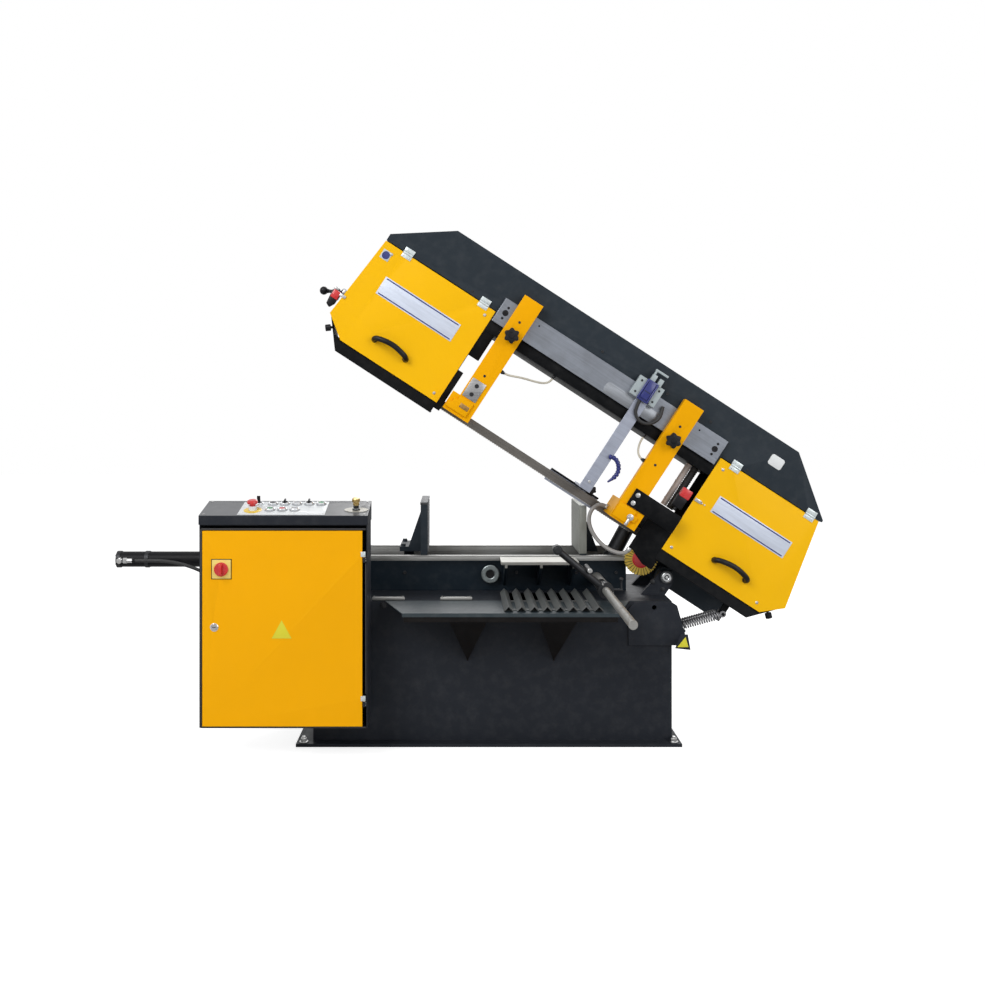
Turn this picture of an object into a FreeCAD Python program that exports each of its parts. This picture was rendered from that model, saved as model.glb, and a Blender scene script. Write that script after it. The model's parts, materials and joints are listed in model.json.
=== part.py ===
"""Semi-automatic pivot band saw: a base with a hydraulic vise, a control cabinet and a hinged bow.

Frame: +X along the base to the bow's pivot, -Y to the operator, +Z up, the blade in the plane Y = 0,
origin on the floor in the middle of the base's length.  Bow parts are built in the bow's own frame, whose
origin is the pivot axis and whose X axis is level when the bow is down, and are then turned by bow_angle.
"""
import FreeCAD, Part
import math
import os
import re
import Sketcher

V = FreeCAD.Vector
doc = FreeCAD.newDocument("BandSaw")
sheet = doc.addObject("Spreadsheet::Sheet", "Dims")

DIMENSIONS = """
# base: a sheet-steel box on a floor plate
base_left -668; base_right 698; base_front -200; base_back 430; base_top 540; base_wall 8
floor_left -727; floor_right 727; floor_front -250; floor_back 480; floor_plate 12
anchor_half 700; anchor_front -225; anchor_back 455; anchor_r 9
chute_left 60; chute_right 350; chute_front -180; chute_back 10
slot_left 362; slot_right 500; slot_front 50; slot_back 130
ear_left 532; ear_right 759; ear_low 373; ear_high 538; ear_t 8; ear_hole_x 630; ear_hole_z 517; ear_hole_r 9
ear_inner_y -44; inlet_y 132; inlet_z 486; inlet_r 14; inlet_out 10
# chip tray, its gussets and its grate of angle slats
tray_left -395; tray_right 535; tray_lip_left -318; tray_lip_right 463; tray_lip_y -440; tray_t 4; tray_lip_h 12
gusset_left_x -80; gusset_right_x 248; gusset_half 82; gusset_out 226; gusset_low 313; gusset_t 6
slat_x 66; slat_pitch 46.5; slat_count 8; slat_half 17; slat_rise 18; slat_t 3; slat_front -420; slat_back -50
grate_bar 3; grate_bar_w 20; grate_bar_inset 30
# vise bed, rails and outfeed plate
table_z 680; bed_left -640; bed_right 560; bed_front 25; bed_back 340; bed_beam 25; bed_end 20; rail_t 8
rail_overhang 3; cross_top 600; cross_w 20; rod_hole_r 30; bush_x 13; bush_z 610; bush_r 36; bush_bore 17; bush_out 28
plate_left 50; plate_right 352; plate_front -143; plate_back -10; plate_t 12; bracket_w 10; bracket_neck 640
bracket_low 560; bracket_inset 15
# vise: two jaws, rod and cylinder
fixed_face 375; jaw_front 40; jaw_end 335; jaw_t 28; fixed_jaw_top 880; moving_face -239; moving_jaw_top 892
jaw_cap 12; rib_w 25; rib_reach 60; foot_t 20; foot_front 142; fixed_foot_out 455; moving_foot_out -357; jaw_bolt_r 10
rod_y 190; rod_z 641; rod_r 18; rod_length 990; lug_left -340; lug_right -300; lug_half 25; lug_low 615
cyl_left -1538; cyl_r 32; cyl_bore 25; cyl_cap 20; gland_gap 0.05; fitting_x -1512; fitting_y 150; fitting_z 643
fitting_r 11; fitting_nose_r 9; fitting_nose 62; hose_r 7; hose_y 134
# control cabinet, door and console
cab_left -1047; cab_right -443; cab_front -425; cab_back -265; cab_low 127; cab_high 858; cab_wall 3
spacer_w 40; spacer_left_x -640; spacer_right_x -520; spacer_low_z 200; spacer_high_z 460
door_left -1035; door_right -461; door_low 134; door_high 836; door_front -431; door_depth 18; door_wall 2
hinge_x -454; hinge_y -430; hinge_r 5; hinge_len 38; hinge_low_z 224; hinge_high_z 742; hinge_pin 2; door_gap 1
switch_x -966; switch_z 699; switch_r 25; switch_t 14; switch_grip 10; switch_shaft 5; lock_x -992; lock_z 490; lock_r 12; lock_t 4
lid_left -1049; lid_right -441; lid_front -430; lid_back -262; lid_front_z 891; lid_back_z 928; lid_t 3
panel_left -912; panel_right -597; panel_near 6; panel_far 155; panel_t 2
key_x -802; key_pitch 44.7; key_near 57; key_far 124; key_r 11; key_gap 0.3; bezel_r 15; bezel_h 5; key_up 7
key_down 12; estop_x -864; estop_y 55; estop_r 19; collar_h 18; estop_rise 6; estop_cap 16; pilot_x -854; pilot_y 122
selector_grip 6; selector_rise 12; valve_x -488; valve_y 62; valve_r 14; valve_h 38; valve_stem 5; valve_collar 8
# electrical gear, coolant tank and hydraulic unit
gear_inset 40; gear_plate 4; gear_box_w 90; gear_box_h 110; gear_box_d 70; gear_pitch 140; gear_count 3
tank_left -300; tank_right 250; tank_h 180; tank_front -180; tank_back 150; tank_wall 4; pump_r 60; pump_h 160; pump_x -200
unit_left -640; unit_right -360; unit_front 150; unit_back 400; unit_h 200; unit_motor_r 70; unit_motor_h 180
# length stop
stop_x 440; stop_z 589; stop_r 15; stop_out -858; sleeve_r 24; sleeve_end -120; car_y -235; car_half 20; car_r 30
car_gap 0.05; finger_x 258; finger_z 741; finger_r 13; finger_tip 18; pin_x 378; pin_z 665; pin_r 9; pin_front -262
pin_back -150; clamp_x 505; clamp_r 5; clamp_arm 40; clamp_arm_r 4
# bow pivot and its cheeks
pivot_x 704; pivot_z 609; bow_angle 33; shaft_r 20; run_gap 0.05; hub_r 34; cheek_t 20; cheek_front -62; cheek_back 150
shaft_over 10; cap_r 24; cap_t 10; cheek_foot_left 600; cheek_mid_z 585; cheek_far 28; cheek_near -24; cheek_rise 22
# bow beam
beam_left -1638; beam_right 374; beam_front -130; beam_rear 120; beam_low 423; beam_step 508; beam_top 688
beam_top_left -1425; beam_top_right 151; beam_end_z 535; beam_end_right_z 516; beam_wall 6
slit_low 468; slit_high 504; slit_half 24; column_half 60; column_front 30; column_low -40
box_right 300; box_low -38; box_high 75; idler_post_half 70; idler_post_front 82; idler_post_low 200
railbar_left -1126; railbar_right -103; railbar_low 467; railbar_high 571; railbar_t 15
# wheels and blade
wheel_z 288; drive_x 186; idler_x -1430; wheel_r 199.3; wheel_half 17; rim_t 26; web_half 6; wheel_hub_r 48
light_r 32; light_at 110; light_count 6; blade_gap 0.3; blade_t 1.1; blade_w 34; drive_twist_from 130; drive_twist_to -205
idler_twist_from -1366; idler_twist_to -1116; axle_front -24
# wheel housings and covers
left_near -1132; left_slope -1576; left_far -1668; left_top_far -1638; right_near -92; right_slope 358; right_far 434
right_top_far 360; cover_low 84; cover_high 504; cover_far_z 151; knuckle_r 4; knuckle_y -135; knuckle_z 506; knuckle_len 12
knuckle_in 7; knuckle_out 19; leaf_t 2; leaf_high 526; left_first_x -1537; left_second_x -1186; right_first_x -24
right_second_x 319; cover_t 4; rim_low 38; rim_wall 4; rim_inset 4; skirt_step 2; skirt_lap 6
rim_rear 20; back_plate 6; back_low 84; axle_slot 22; slide_travel 14; guard_y -127; guard_t 4
guard_low -6; guard_corner 20; guard_mid 156; guard_high 226; guard_left -202; strip_left -309; strip_right -105; strip_t 4; left_guard_edge -1107
side_strip_edge -1084; side_strip_low 307; left_guard_low 62; left_guard_high 237
handle_left_x -1395; handle_right_x 174; handle_z 159; handle_half 71; handle_out 38; handle_r 7
latch_left_x -1630.6; latch_left_z 110; latch_left_turn 219.15
latch_right_x 388.2; latch_right_z 104.7; latch_right_turn -42.07
latch_y -116; latch_stem 8; latch_stem_r 5; latch_r 13; latch_t 20
hook_x 251; hook_y -89; hook_r 6; hook_len 64; hanger_half 13; hanger_t 8
# guide arms and their clamp knobs
arm_w 84; arm_left_x -1072; arm_right_x -339; arm_front -180; arm_gap 0.2; arm_high 616; arm_low 150; block_low 83
block_high 159; block_left_out 31; block_right_out 27; block_rear 18; blade_play 0.4; knob_r 32; knob_t 22
knob_stem 18; knob_stem_r 9; knob_z 454; knob_in 42; knob_lobes 6; knob_lobe_r 9
# sensor carriage and bar
sensor_left -532; sensor_right -422; sensor_core_left -499; sensor_core_right -453; sensor_low 521; sensor_high 602
sensor_t 24; bar_left -496; bar_right -447; bar_low 113; bar_t 6; bar_top 556; bar_gap 0.2; foot_plate_left -606; foot_plate_right -382
foot_plate_low 61; foot_plate_high 109; foot_plate_y 10; foot_plate_t 5
# tension slide, lever, gearmotor and chip brush
slide_half 50; slide_front 30; slide_t 50; screw_z 250; screw_r 9; screw_end -1702; nut_gap 0.6; nut_t 10
lever_hub_r 16; lever_hub_t 16; lever_ball_x -1758; lever_ball_z 206; lever_ball_r 17; lever_r 6
gear_half 112; gear_front 30; gear_depth 118; motor_r 80; motor_len 230; motor_box 50
brush_x -109; brush_z 4; brush_r 64; brush_half 11; brush_hub_r 34; brush_bore 6; brush_arm_t 8
# lift cylinder, open at its upper pivot
lift_x 311; lift_z 300; lift_y 90; lift_pin_x -210; lift_pin_z 130; lift_pin_r 10; lift_play 7; lift_eye 30
lift_eye_half 28; lift_r 32; lift_bore 25; lift_rod_r 15; lift_base_pin 12; lift_closed 47; lift_stroke 132
lift_cheek 14; lift_cheek_gap 4; lift_mount_half 30; lift_stem 430; lift_piston 20
# return springs
spring_x 745; spring_z 426; spring_y -112; spring_pitch 46; spring_r 17; spring_hole 11; spring_inset 17; spring_pin 6
spring_eye 10; spring_wire 2
# hose and conduit sections
thin_hose_r 4; grey_hose_r 8; conduit_r 11; conduit_x -165; conduit_y -60; conduit_pitch 26; conduit_low 233
"""

NAMES = set()


def fill_sheet(text):
    """Write one row per dimension: its name, its value and the group it belongs to."""
    row = 0
    group = ""
    for line in text.strip().splitlines():
        if line.startswith("#"):
            group = line[1:].strip()
            continue
        for entry in line.split(";"):
            name, value = entry.split()
            row += 1
            sheet.set("A%d" % row, name)
            sheet.set("B%d" % row, value)
            sheet.set("C%d" % row, group)
            sheet.setAlias("B%d" % row, name)
            NAMES.add(name)


fill_sheet(DIMENSIONS)
doc.recompute()


def bound(text):
    """Turn a formula of dimension names into a spreadsheet expression."""
    return re.sub(r"[a-z][a-z0-9_]*", lambda m: "Dims." + m.group(0) if m.group(0) in NAMES else m.group(0), str(text))


def value(text):
    """The number that a formula of dimension names gives now."""
    return float(sheet.evalExpression(bound(text)))


def place(obj, x=0, y=0, z=0, axis=None, angle=None):
    """Bind an object's place, and its turn about one axis, to formulas."""
    if axis:
        obj.Placement = FreeCAD.Placement(V(), FreeCAD.Rotation(V(*axis), 1.0))
        obj.setExpression("Placement.Rotation.Angle", bound(angle))
    for key, text in (("x", x), ("y", y), ("z", z)):
        obj.setExpression("Placement.Base." + key, bound(text))
    return obj


def box(x0, x1, y0, y1, z0, z1):
    """A block between six limits."""
    obj = doc.addObject("Part::Box", "block")
    obj.setExpression("Length", bound("(%s) - (%s)" % (x1, x0)))
    obj.setExpression("Width", bound("(%s) - (%s)" % (y1, y0)))
    obj.setExpression("Height", bound("(%s) - (%s)" % (z1, z0)))
    return place(obj, x0, y0, z0)


def cyl(along, r, x, y, z, length):
    """A cylinder of a given length from a point along +x, +y or +z."""
    obj = doc.addObject("Part::Cylinder", "round")
    obj.setExpression("Radius", bound(r))
    obj.setExpression("Height", bound(length))
    if along == "x":
        obj.Placement = FreeCAD.Placement(V(), FreeCAD.Rotation(V(0, 1, 0), 90))
    if along == "y":
        obj.Placement = FreeCAD.Placement(V(), FreeCAD.Rotation(V(1, 0, 0), -90))
    return place(obj, x, y, z)


def ball(r, x, y, z):
    obj = doc.addObject("Part::Sphere", "ball")
    obj.setExpression("Radius", bound(r))
    return place(obj, x, y, z)


def bar_xz(r, x0, z0, x1, z1, y):
    """A round bar in a plane of constant y, from one point to another."""
    obj = doc.addObject("Part::Cylinder", "bar")
    run, rise = "((%s) - (%s))" % (x1, x0), "((%s) - (%s))" % (z1, z0)
    obj.setExpression("Radius", bound(r))
    obj.setExpression("Height", bound("sqrt(%s ^ 2 + %s ^ 2)" % (run, rise)))
    return place(obj, x0, y, z0, (0, 1, 0), "atan2(%s; %s)" % (run, rise))


def join(*shapes):
    obj = doc.addObject("Part::MultiFuse", "joined")
    obj.Shapes = list(shapes)
    obj.Refine = True
    return obj


def cut(base, *tools):
    obj = doc.addObject("Part::Cut", "cut")
    obj.Base = base
    obj.Tool = tools[0] if len(tools) == 1 else join(*tools)
    return obj


def common(first, second):
    obj = doc.addObject("Part::Common", "shared")
    obj.Base = first
    obj.Tool = second
    return obj


def ring(along, r_out, r_in, x, y, z, length):
    return cut(cyl(along, r_out, x, y, z, length), cyl(along, r_in, x, y, z, length))


PLANES = {"xz": "XZ_Plane", "xy": "XY_Plane", "yz": "YZ_Plane"}


def prism(plane, start, depth, points):
    """A body padded along +y, +z or +x from a closed outline, each corner bound to two formulas."""
    body = doc.addObject("PartDesign::Body", "profile")
    sketch = body.newObject("Sketcher::SketchObject", "outline")
    role = PLANES[plane]
    sketch.AttachmentSupport = [([o for o in body.Origin.OriginFeatures if o.Role == role][0], "")]
    sketch.MapMode = "FlatFace"
    corners = [V(value(u), value(w), 0) for u, w in points]
    count = len(points)
    for i in range(count):
        sketch.addGeometry(Part.LineSegment(corners[i], corners[(i + 1) % count]), False)
    for i in range(count):
        sketch.addConstraint(Sketcher.Constraint("Coincident", i, 2, (i + 1) % count, 1))
    for i, (u, w) in enumerate(points):
        for kind, text, number in (("DistanceX", u, corners[i].x), ("DistanceY", w, corners[i].y)):
            index = sketch.addConstraint(Sketcher.Constraint(kind, -1, 1, i, 1, number))
            sketch.setExpression("Constraints[%d]" % index, bound(text))
    sign = "-" if plane == "xz" else ""
    sketch.setExpression("AttachmentOffset.Base.z", bound("%s(%s)" % (sign, start)))
    pad = body.newObject("PartDesign::Pad", "pad")
    pad.Profile = sketch
    pad.Reversed = plane == "xz"
    pad.setExpression("Length", bound(depth))
    return body


def free(shape):
    """A shape that no primitive gives, worked out from the sheet's values."""
    obj = doc.addObject("Part::Feature", "free_form")
    obj.Shape = shape
    return obj


NODES = []


def node(label, *parts):
    """Collect a sub-part's solids under its own label, in the base's frame."""
    group = doc.addObject("Part::Compound", label)
    group.Links = list(parts)
    group.Label = label
    NODES.append(group)
    return group


def bow_node(label, *parts):
    """A sub-part built in the bow's frame, carried to the pivot and raised with the bow."""
    return place(node(label, *parts), "pivot_x", 0, "pivot_z", (0, 1, 0), "bow_angle")


def console_node(label, *parts):
    """A sub-part built in the console's frame, whose XY plane is the sloped lid."""
    return place(node(label, *parts), 0, "lid_front", "lid_front_z", (1, 0, 0), LID_TILT)


LID_TILT = "atan2(lid_back_z - lid_front_z; lid_back - lid_front)"


def tube_route(points, r):
    """A round tube along straight runs joined by arcs as large as the runs allow."""
    pts = [V(*p) for p in points]
    edges = []
    start = pts[0]
    for i in range(1, len(pts) - 1):
        back, ahead = pts[i - 1] - pts[i], pts[i + 1] - pts[i]
        shorter = min(back.Length, ahead.Length)
        turn = math.pi - back.getAngle(ahead)
        trim = 0.45 * shorter
        radius = trim / math.tan(turn / 2)
        a = pts[i] + back.normalize() * trim
        b = pts[i] + ahead.normalize() * trim
        bisector = (back + ahead).normalize()
        middle = pts[i] + bisector * (math.hypot(radius, trim) - radius)
        edges.append(Part.LineSegment(start, a).toShape())
        edges.append(Part.Arc(a, middle, b).toShape())
        start = b
        print("bend radius %.0f" % radius)
    edges.append(Part.LineSegment(start, pts[-1]).toShape())
    path = Part.Wire(edges)
    first = (pts[1] - pts[0]).normalize()
    section = Part.Wire(Part.Circle(pts[0], first, r).toShape())
    tube = path.makePipeShell([section], True, True)
    print("tube volume %.0f, section times length %.0f" % (tube.Volume, math.pi * r * r * path.Length))
    return free(tube)


# ---------------------------------------------------------------- base
def base_frame():
    floor = box("floor_left", "floor_right", "floor_front", "floor_back", 0, "floor_plate")
    shell = cut(box("base_left", "base_right", "base_front", "base_back", "floor_plate", "base_top"),
                box("base_left + base_wall", "base_right - base_wall", "base_front + base_wall",
                    "base_back - base_wall", "floor_plate", "base_top - base_wall"))
    chute = box("chute_left", "chute_right", "chute_front", "chute_back", "base_top - 2 * base_wall", "base_top")
    slot = box("slot_left", "slot_right", "slot_front", "slot_back", "base_top - 2 * base_wall", "base_top")
    anchors = [cyl("z", "anchor_r", side + "anchor_half", y, 0, "floor_plate")
               for side in ("-", "") for y in ("anchor_front", "anchor_back")]
    ear = prism("xz", "base_front - ear_t", "ear_t",
                [("ear_left", "ear_high - 28"), ("ear_left + 22", "ear_high"), ("base_right - 3", "ear_high"),
                 ("base_right + 19", "ear_high - 14"), ("ear_right", "ear_low"), ("ear_left", "ear_low")])
    ear_hole = cyl("y", "ear_hole_r", "ear_hole_x", "base_front - ear_t", "ear_hole_z", "ear_t + base_wall")
    inner_ear = prism("xz", "ear_inner_y", "ear_t",
                      [("base_right", "ear_high - 40"), ("base_right + 22", "ear_high - 40"),
                       ("ear_right", "ear_low + 25"), ("ear_right", "ear_low"), ("base_right", "ear_low")])
    spring_pin = cyl("y", "spring_pin", "spring_x", "base_front", "spring_z", "ear_inner_y - base_front")
    cheeks = [pivot_cheek("cheek_front"), pivot_cheek("cheek_back")]
    inlet = cyl("x", "inlet_r", "base_left - inlet_out", "inlet_y", "inlet_z", "inlet_out")
    mounts = [box("lift_x - lift_mount_half", "lift_x + lift_mount_half", y, y + " + lift_cheek", "floor_plate",
                  "lift_z + lift_mount_half")
              for y in ("lift_y - lift_eye_half - lift_cheek_gap - lift_cheek",
                        "lift_y + lift_eye_half + lift_cheek_gap")]
    lift_pin = cyl("y", "lift_base_pin", "lift_x", "lift_y - lift_eye_half - lift_cheek_gap - lift_cheek", "lift_z",
                   "2 * (lift_eye_half + lift_cheek_gap + lift_cheek)")
    steel = join(floor, shell, ear, inner_ear, spring_pin, inlet, lift_pin, *(cheeks + mounts))
    node("base_frame", cut(steel, chute, slot, ear_hole, *anchors))


def pivot_cheek(y):
    plate = prism("xz", y, "cheek_t",
                  [("cheek_foot_left", "base_top - 4"), ("base_right", "base_top - 4"),
                   ("pivot_x + cheek_far", "cheek_mid_z"), ("pivot_x + cheek_far", "pivot_z + cheek_rise - 4"),
                   ("pivot_x + cheek_far - 10", "pivot_z + cheek_rise"),
                   ("pivot_x + cheek_near", "pivot_z + cheek_rise"), ("cheek_foot_left + 45", "cheek_mid_z")])
    return cut(plate, cyl("y", "shaft_r", "pivot_x", y, "pivot_z", "cheek_t"))


def pivot_shaft():
    body = cyl("y", "shaft_r", "pivot_x", "cheek_front - shaft_over", "pivot_z",
               "cheek_back + cheek_t - cheek_front + 2 * shaft_over")
    front_cap = cyl("y", "cap_r", "pivot_x", "cheek_front - cap_t", "pivot_z", "cap_t")
    back_cap = cyl("y", "cap_r", "pivot_x", "cheek_back + cheek_t", "pivot_z", "cap_t")
    node("pivot_shaft", join(body, front_cap, back_cap))


def chip_tray():
    floor = prism("xy", "base_top - 2", "tray_t",
                  [("tray_left", "base_front"), ("tray_lip_left", "tray_lip_y"), ("tray_lip_right", "tray_lip_y"),
                   ("tray_right", "base_front")])
    lip = box("tray_lip_left", "tray_lip_right", "tray_lip_y", "tray_lip_y + tray_t", "base_top - tray_lip_h",
              "base_top")
    wings = []
    for x in ("gusset_left_x", "gusset_right_x"):
        band = prism("yz", x + " - gusset_half", "2 * gusset_half",
                     [("base_front - gusset_out", "base_top - 2"), ("base_front", "gusset_low"),
                      ("base_front", "gusset_low + gusset_t * 2"),
                      ("base_front - gusset_out + gusset_t", "base_top - 2")])
        wedge = prism("xz", "base_front - gusset_out", "gusset_out",
                      [(x + " - gusset_half", "base_top - 2"), (x, "gusset_low"),
                       (x + " + gusset_half", "base_top - 2")])
        rib = prism("yz", x + " - gusset_t / 2", "gusset_t",
                    [("base_front - gusset_out", "base_top - 2"), ("base_front", "gusset_low"),
                     ("base_front", "base_top - 2")])
        wings += [common(band, wedge), rib]
    node("chip_tray", join(floor, lip, *wings))


def grate():
    top = "base_top - 2 + tray_t + grate_bar"
    pieces = [box("slat_x - slat_half", "slat_x + (slat_count - 1) * slat_pitch + slat_half", y,
                  y + " + grate_bar_w", "base_top - 2 + tray_t", top)
              for y in ("slat_front + grate_bar_inset", "base_front - grate_bar_inset")]
    for i in range(int(value("slat_count"))):
        x = "slat_x + %d * slat_pitch" % i
        pieces.append(prism("xz", "slat_front", "slat_back - slat_front",
                            [(x + " - slat_half", top), (x, top + " + slat_rise"), (x + " + slat_half", top),
                             (x + " + slat_half - slat_t", top), (x, top + " + slat_rise - slat_t"),
                             (x + " - slat_half + slat_t", top)]))
    node("grate", join(*pieces))


def outfeed_table():
    top = box("plate_left", "plate_right", "plate_front", "plate_back", "table_z - plate_t", "table_z")
    brackets = [prism("yz", x, "bracket_w",
                      [("bed_front", "bracket_low"), ("bed_front", "bracket_neck"), ("plate_back", "bracket_neck"),
                       ("plate_back", "table_z - plate_t"), ("plate_front", "table_z - plate_t"),
                       ("plate_front", "table_z - 2 * plate_t")])
                for x in ("plate_left + bracket_inset", "(plate_left + plate_right) / 2",
                          "plate_right - bracket_inset - bracket_w")]
    node("outfeed_table", join(top, *brackets))


def vise_bed():
    front = box("bed_left", "bed_right", "bed_front", "bed_front + bed_beam", "base_top", "table_z")
    back = box("bed_left", "bed_right", "bed_back - bed_beam", "bed_back", "base_top", "table_z")
    rail = box("bed_left", "bed_right", "bed_front - rail_overhang", "bed_front", "table_z - rail_t", "table_z")
    end = box("bed_left", "bed_left + bed_end", "bed_front", "bed_back", "base_top", "table_z - rail_t")
    crosses = [box(x, x + " + cross_w", "bed_front", "bed_back", "base_top", "cross_top")
               for x in ("bed_left / 2", "bush_x", "plate_right - 10")]
    bush = cyl("y", "bush_r", "bush_x", "bed_front - bush_out", "bush_z", "bush_out")
    bush_bore = cyl("y", "bush_bore", "bush_x", "bed_front - bush_out", "bush_z", "bush_out + bed_beam / 2")
    rod_hole = cyl("x", "rod_hole_r", "bed_left", "rod_y", "rod_z", "bed_end")
    node("vise_bed", cut(join(front, back, rail, end, bush, *crosses), bush_bore, rod_hole))


# ---------------------------------------------------------------- vise
def jaw(face, side, top, foot_out):
    """A jaw standing on the rails; side is + when its body lies on the +x side of its face."""
    low, high = (face, "%s + jaw_t" % face) if side == "+" else ("%s - jaw_t" % face, face)
    wall = box(low, high, "jaw_front", "jaw_end", "table_z", top)
    rear = "%s %s jaw_t" % (face, side)
    ribs = [prism("xz", y, "rib_w", [(rear, "table_z"), ("%s %s rib_reach" % (rear, side), "table_z"),
                                      (rear, "%s - 40" % top)])
            for y in ("foot_front", "jaw_end - rib_w")]
    foot_limits = (rear, foot_out) if side == "+" else (foot_out, rear)
    foot = box(foot_limits[0], foot_limits[1], "foot_front", "jaw_end", "table_z", "table_z + foot_t")
    bolt_x = "%s %s 14" % (foot_out, "-" if side == "+" else "+")
    bolts = [cyl("z", "jaw_bolt_r", bolt_x, y, "table_z + foot_t", "jaw_bolt_r")
             for y in ("foot_front + 20", "jaw_end - 20")]
    return [wall, foot] + ribs + bolts


def vise_jaws():
    node("fixed_jaw", join(*jaw("fixed_face", "+", "fixed_jaw_top", "fixed_foot_out")))
    lug = box("lug_left", "lug_right", "rod_y - lug_half", "rod_y + lug_half", "lug_low", "table_z")
    node("moving_jaw", join(lug, *jaw("moving_face", "-", "moving_jaw_top", "moving_foot_out")))


def vise_cylinder():
    rod = cyl("x", "rod_r", "lug_left - rod_length", "rod_y", "rod_z", "rod_length")
    piston = cyl("x", "cyl_bore - gland_gap", "lug_left - rod_length", "rod_y", "rod_z", "cyl_cap")
    node("vise_rod", join(rod, piston))
    barrel = cyl("x", "cyl_r", "cyl_left", "rod_y", "rod_z", "bed_left - cyl_left")
    bore = cyl("x", "cyl_bore", "cyl_left + cyl_cap", "rod_y", "rod_z", "bed_left - cyl_left - 2 * cyl_cap")
    gland = cyl("x", "rod_r + gland_gap", "cyl_left + cyl_cap", "rod_y", "rod_z", "bed_left - cyl_left")
    elbow = cyl("y", "fitting_r", "fitting_x", "hose_y - fitting_r", "fitting_z", "rod_y - cyl_bore - hose_y")
    nose = cyl("x", "fitting_nose_r", "fitting_x", "hose_y", "fitting_z", "fitting_nose")
    node("vise_cylinder", join(cut(barrel, bore, gland), elbow, nose))


HOSE_ROUTE = [(-1385, 134, 643), (-1325, 134, 641), (-1262, 134, 631), (-1200, 134, 611), (-1135, 134, 580),
              (-1065, 134, 547), (-985, 133, 520), (-900, 133, 502), (-815, 132, 491), (-740, 132, 486)]


def vise_hose():
    start = (value("fitting_x + fitting_nose"), value("hose_y"), value("fitting_z"))
    finish = (value("base_left - inlet_out"), value("inlet_y"), value("inlet_z"))
    node("vise_hose", tube_route([start] + HOSE_ROUTE + [finish], value("hose_r")))


# ---------------------------------------------------------------- cabinet and console
def cabinet():
    shell = cut(box("cab_left", "cab_right", "cab_front", "cab_back", "cab_low", "cab_high"),
                box("cab_left + cab_wall", "cab_right - cab_wall", "cab_front", "cab_back - cab_wall",
                    "cab_low + cab_wall", "cab_high - cab_wall"))
    spacers = [box(x, x + " + spacer_w", "cab_back", "base_front", z, z + " + spacer_w")
               for x in ("spacer_left_x", "spacer_right_x") for z in ("spacer_low_z", "spacer_high_z")]
    hinges = []
    for z in ("hinge_low_z", "hinge_high_z"):
        hinges.append(cyl("z", "hinge_r", "hinge_x", "hinge_y", z + " - hinge_len / 2", "hinge_len / 2"))
        hinges.append(cyl("z", "hinge_pin", "hinge_x", "hinge_y", z, "hinge_len / 2"))
        hinges.append(box("hinge_x", "cab_right - cab_wall / 2", "hinge_y + 1", "hinge_y + 7",
                          z + " - hinge_len / 2", z))
    node("cabinet", join(shell, *(spacers + hinges)), console_lid())


def console_lid():
    """A lid with vertical skirts and a sloped top, which the controls pass through."""
    sides = [prism("yz", x, "lid_t", [("lid_front", "cab_high"), ("lid_back", "cab_high"),
                                      ("lid_back", "lid_back_z - 2 * lid_t"), ("lid_front", "lid_front_z - 2 * lid_t")])
             for x in ("lid_left", "lid_right - lid_t")]
    front = box("lid_left", "lid_right", "lid_front", "lid_front + lid_t", "cab_high", "lid_front_z - lid_t")
    back = box("lid_left", "lid_right", "lid_back - lid_t", "lid_back", "cab_high", "lid_back_z - 2 * lid_t")
    top = box("lid_left", "lid_right", 0, "(lid_back - lid_front) / cos(%s)" % LID_TILT, "-2 * lid_t", 0)
    openings = [cyl("z", "key_r + key_gap", x, y, "-2 * lid_t", "2 * lid_t") for x, y in control_places()]
    openings.append(cyl("z", "valve_stem + run_gap", "valve_x", "valve_y", "-2 * lid_t", "2 * lid_t"))
    sloped = place(cut(top, *openings), 0, "lid_front", "lid_front_z", (1, 0, 0), LID_TILT)
    return join(sloped, front, back, *sides)


KEYS = {"button_black": (0, "key_far"), "selector_left": (1, "key_far"), "button_silver_rear": (2, "key_far"),
        "selector_right": (3, "key_far"), "button_green_rear": (4, "key_far"), "button_green_front": (0, "key_near"),
        "button_red": (1, "key_near"), "button_silver_front": (2, "key_near")}


def key_place(name):
    column, y = KEYS[name]
    return "key_x + %d * key_pitch" % column, y


def control_places():
    return [key_place(name) for name in KEYS] + [("estop_x", "estop_y"), ("pilot_x", "pilot_y")]


def console_panel():
    """The pale panel with one bezel per control, the stop button's collar and the flow valve's collar."""
    places = control_places()
    plate = box("panel_left", "panel_right", "panel_near", "panel_far", 0, "panel_t")
    bezels = [cyl("z", "bezel_r", x, y, "panel_t", "bezel_h") for x, y in places]
    collar = cyl("z", "bezel_r", "estop_x", "estop_y", "panel_t", "collar_h")
    bores = [cyl("z", "key_r + key_gap", x, y, 0, "panel_t + collar_h") for x, y in places]
    valve = ring("z", "valve_r - 2", "valve_stem + run_gap", "valve_x", "valve_y", 0, "valve_collar")
    console_node("console_panel", cut(join(plate, collar, *bezels), *bores), valve)


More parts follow.
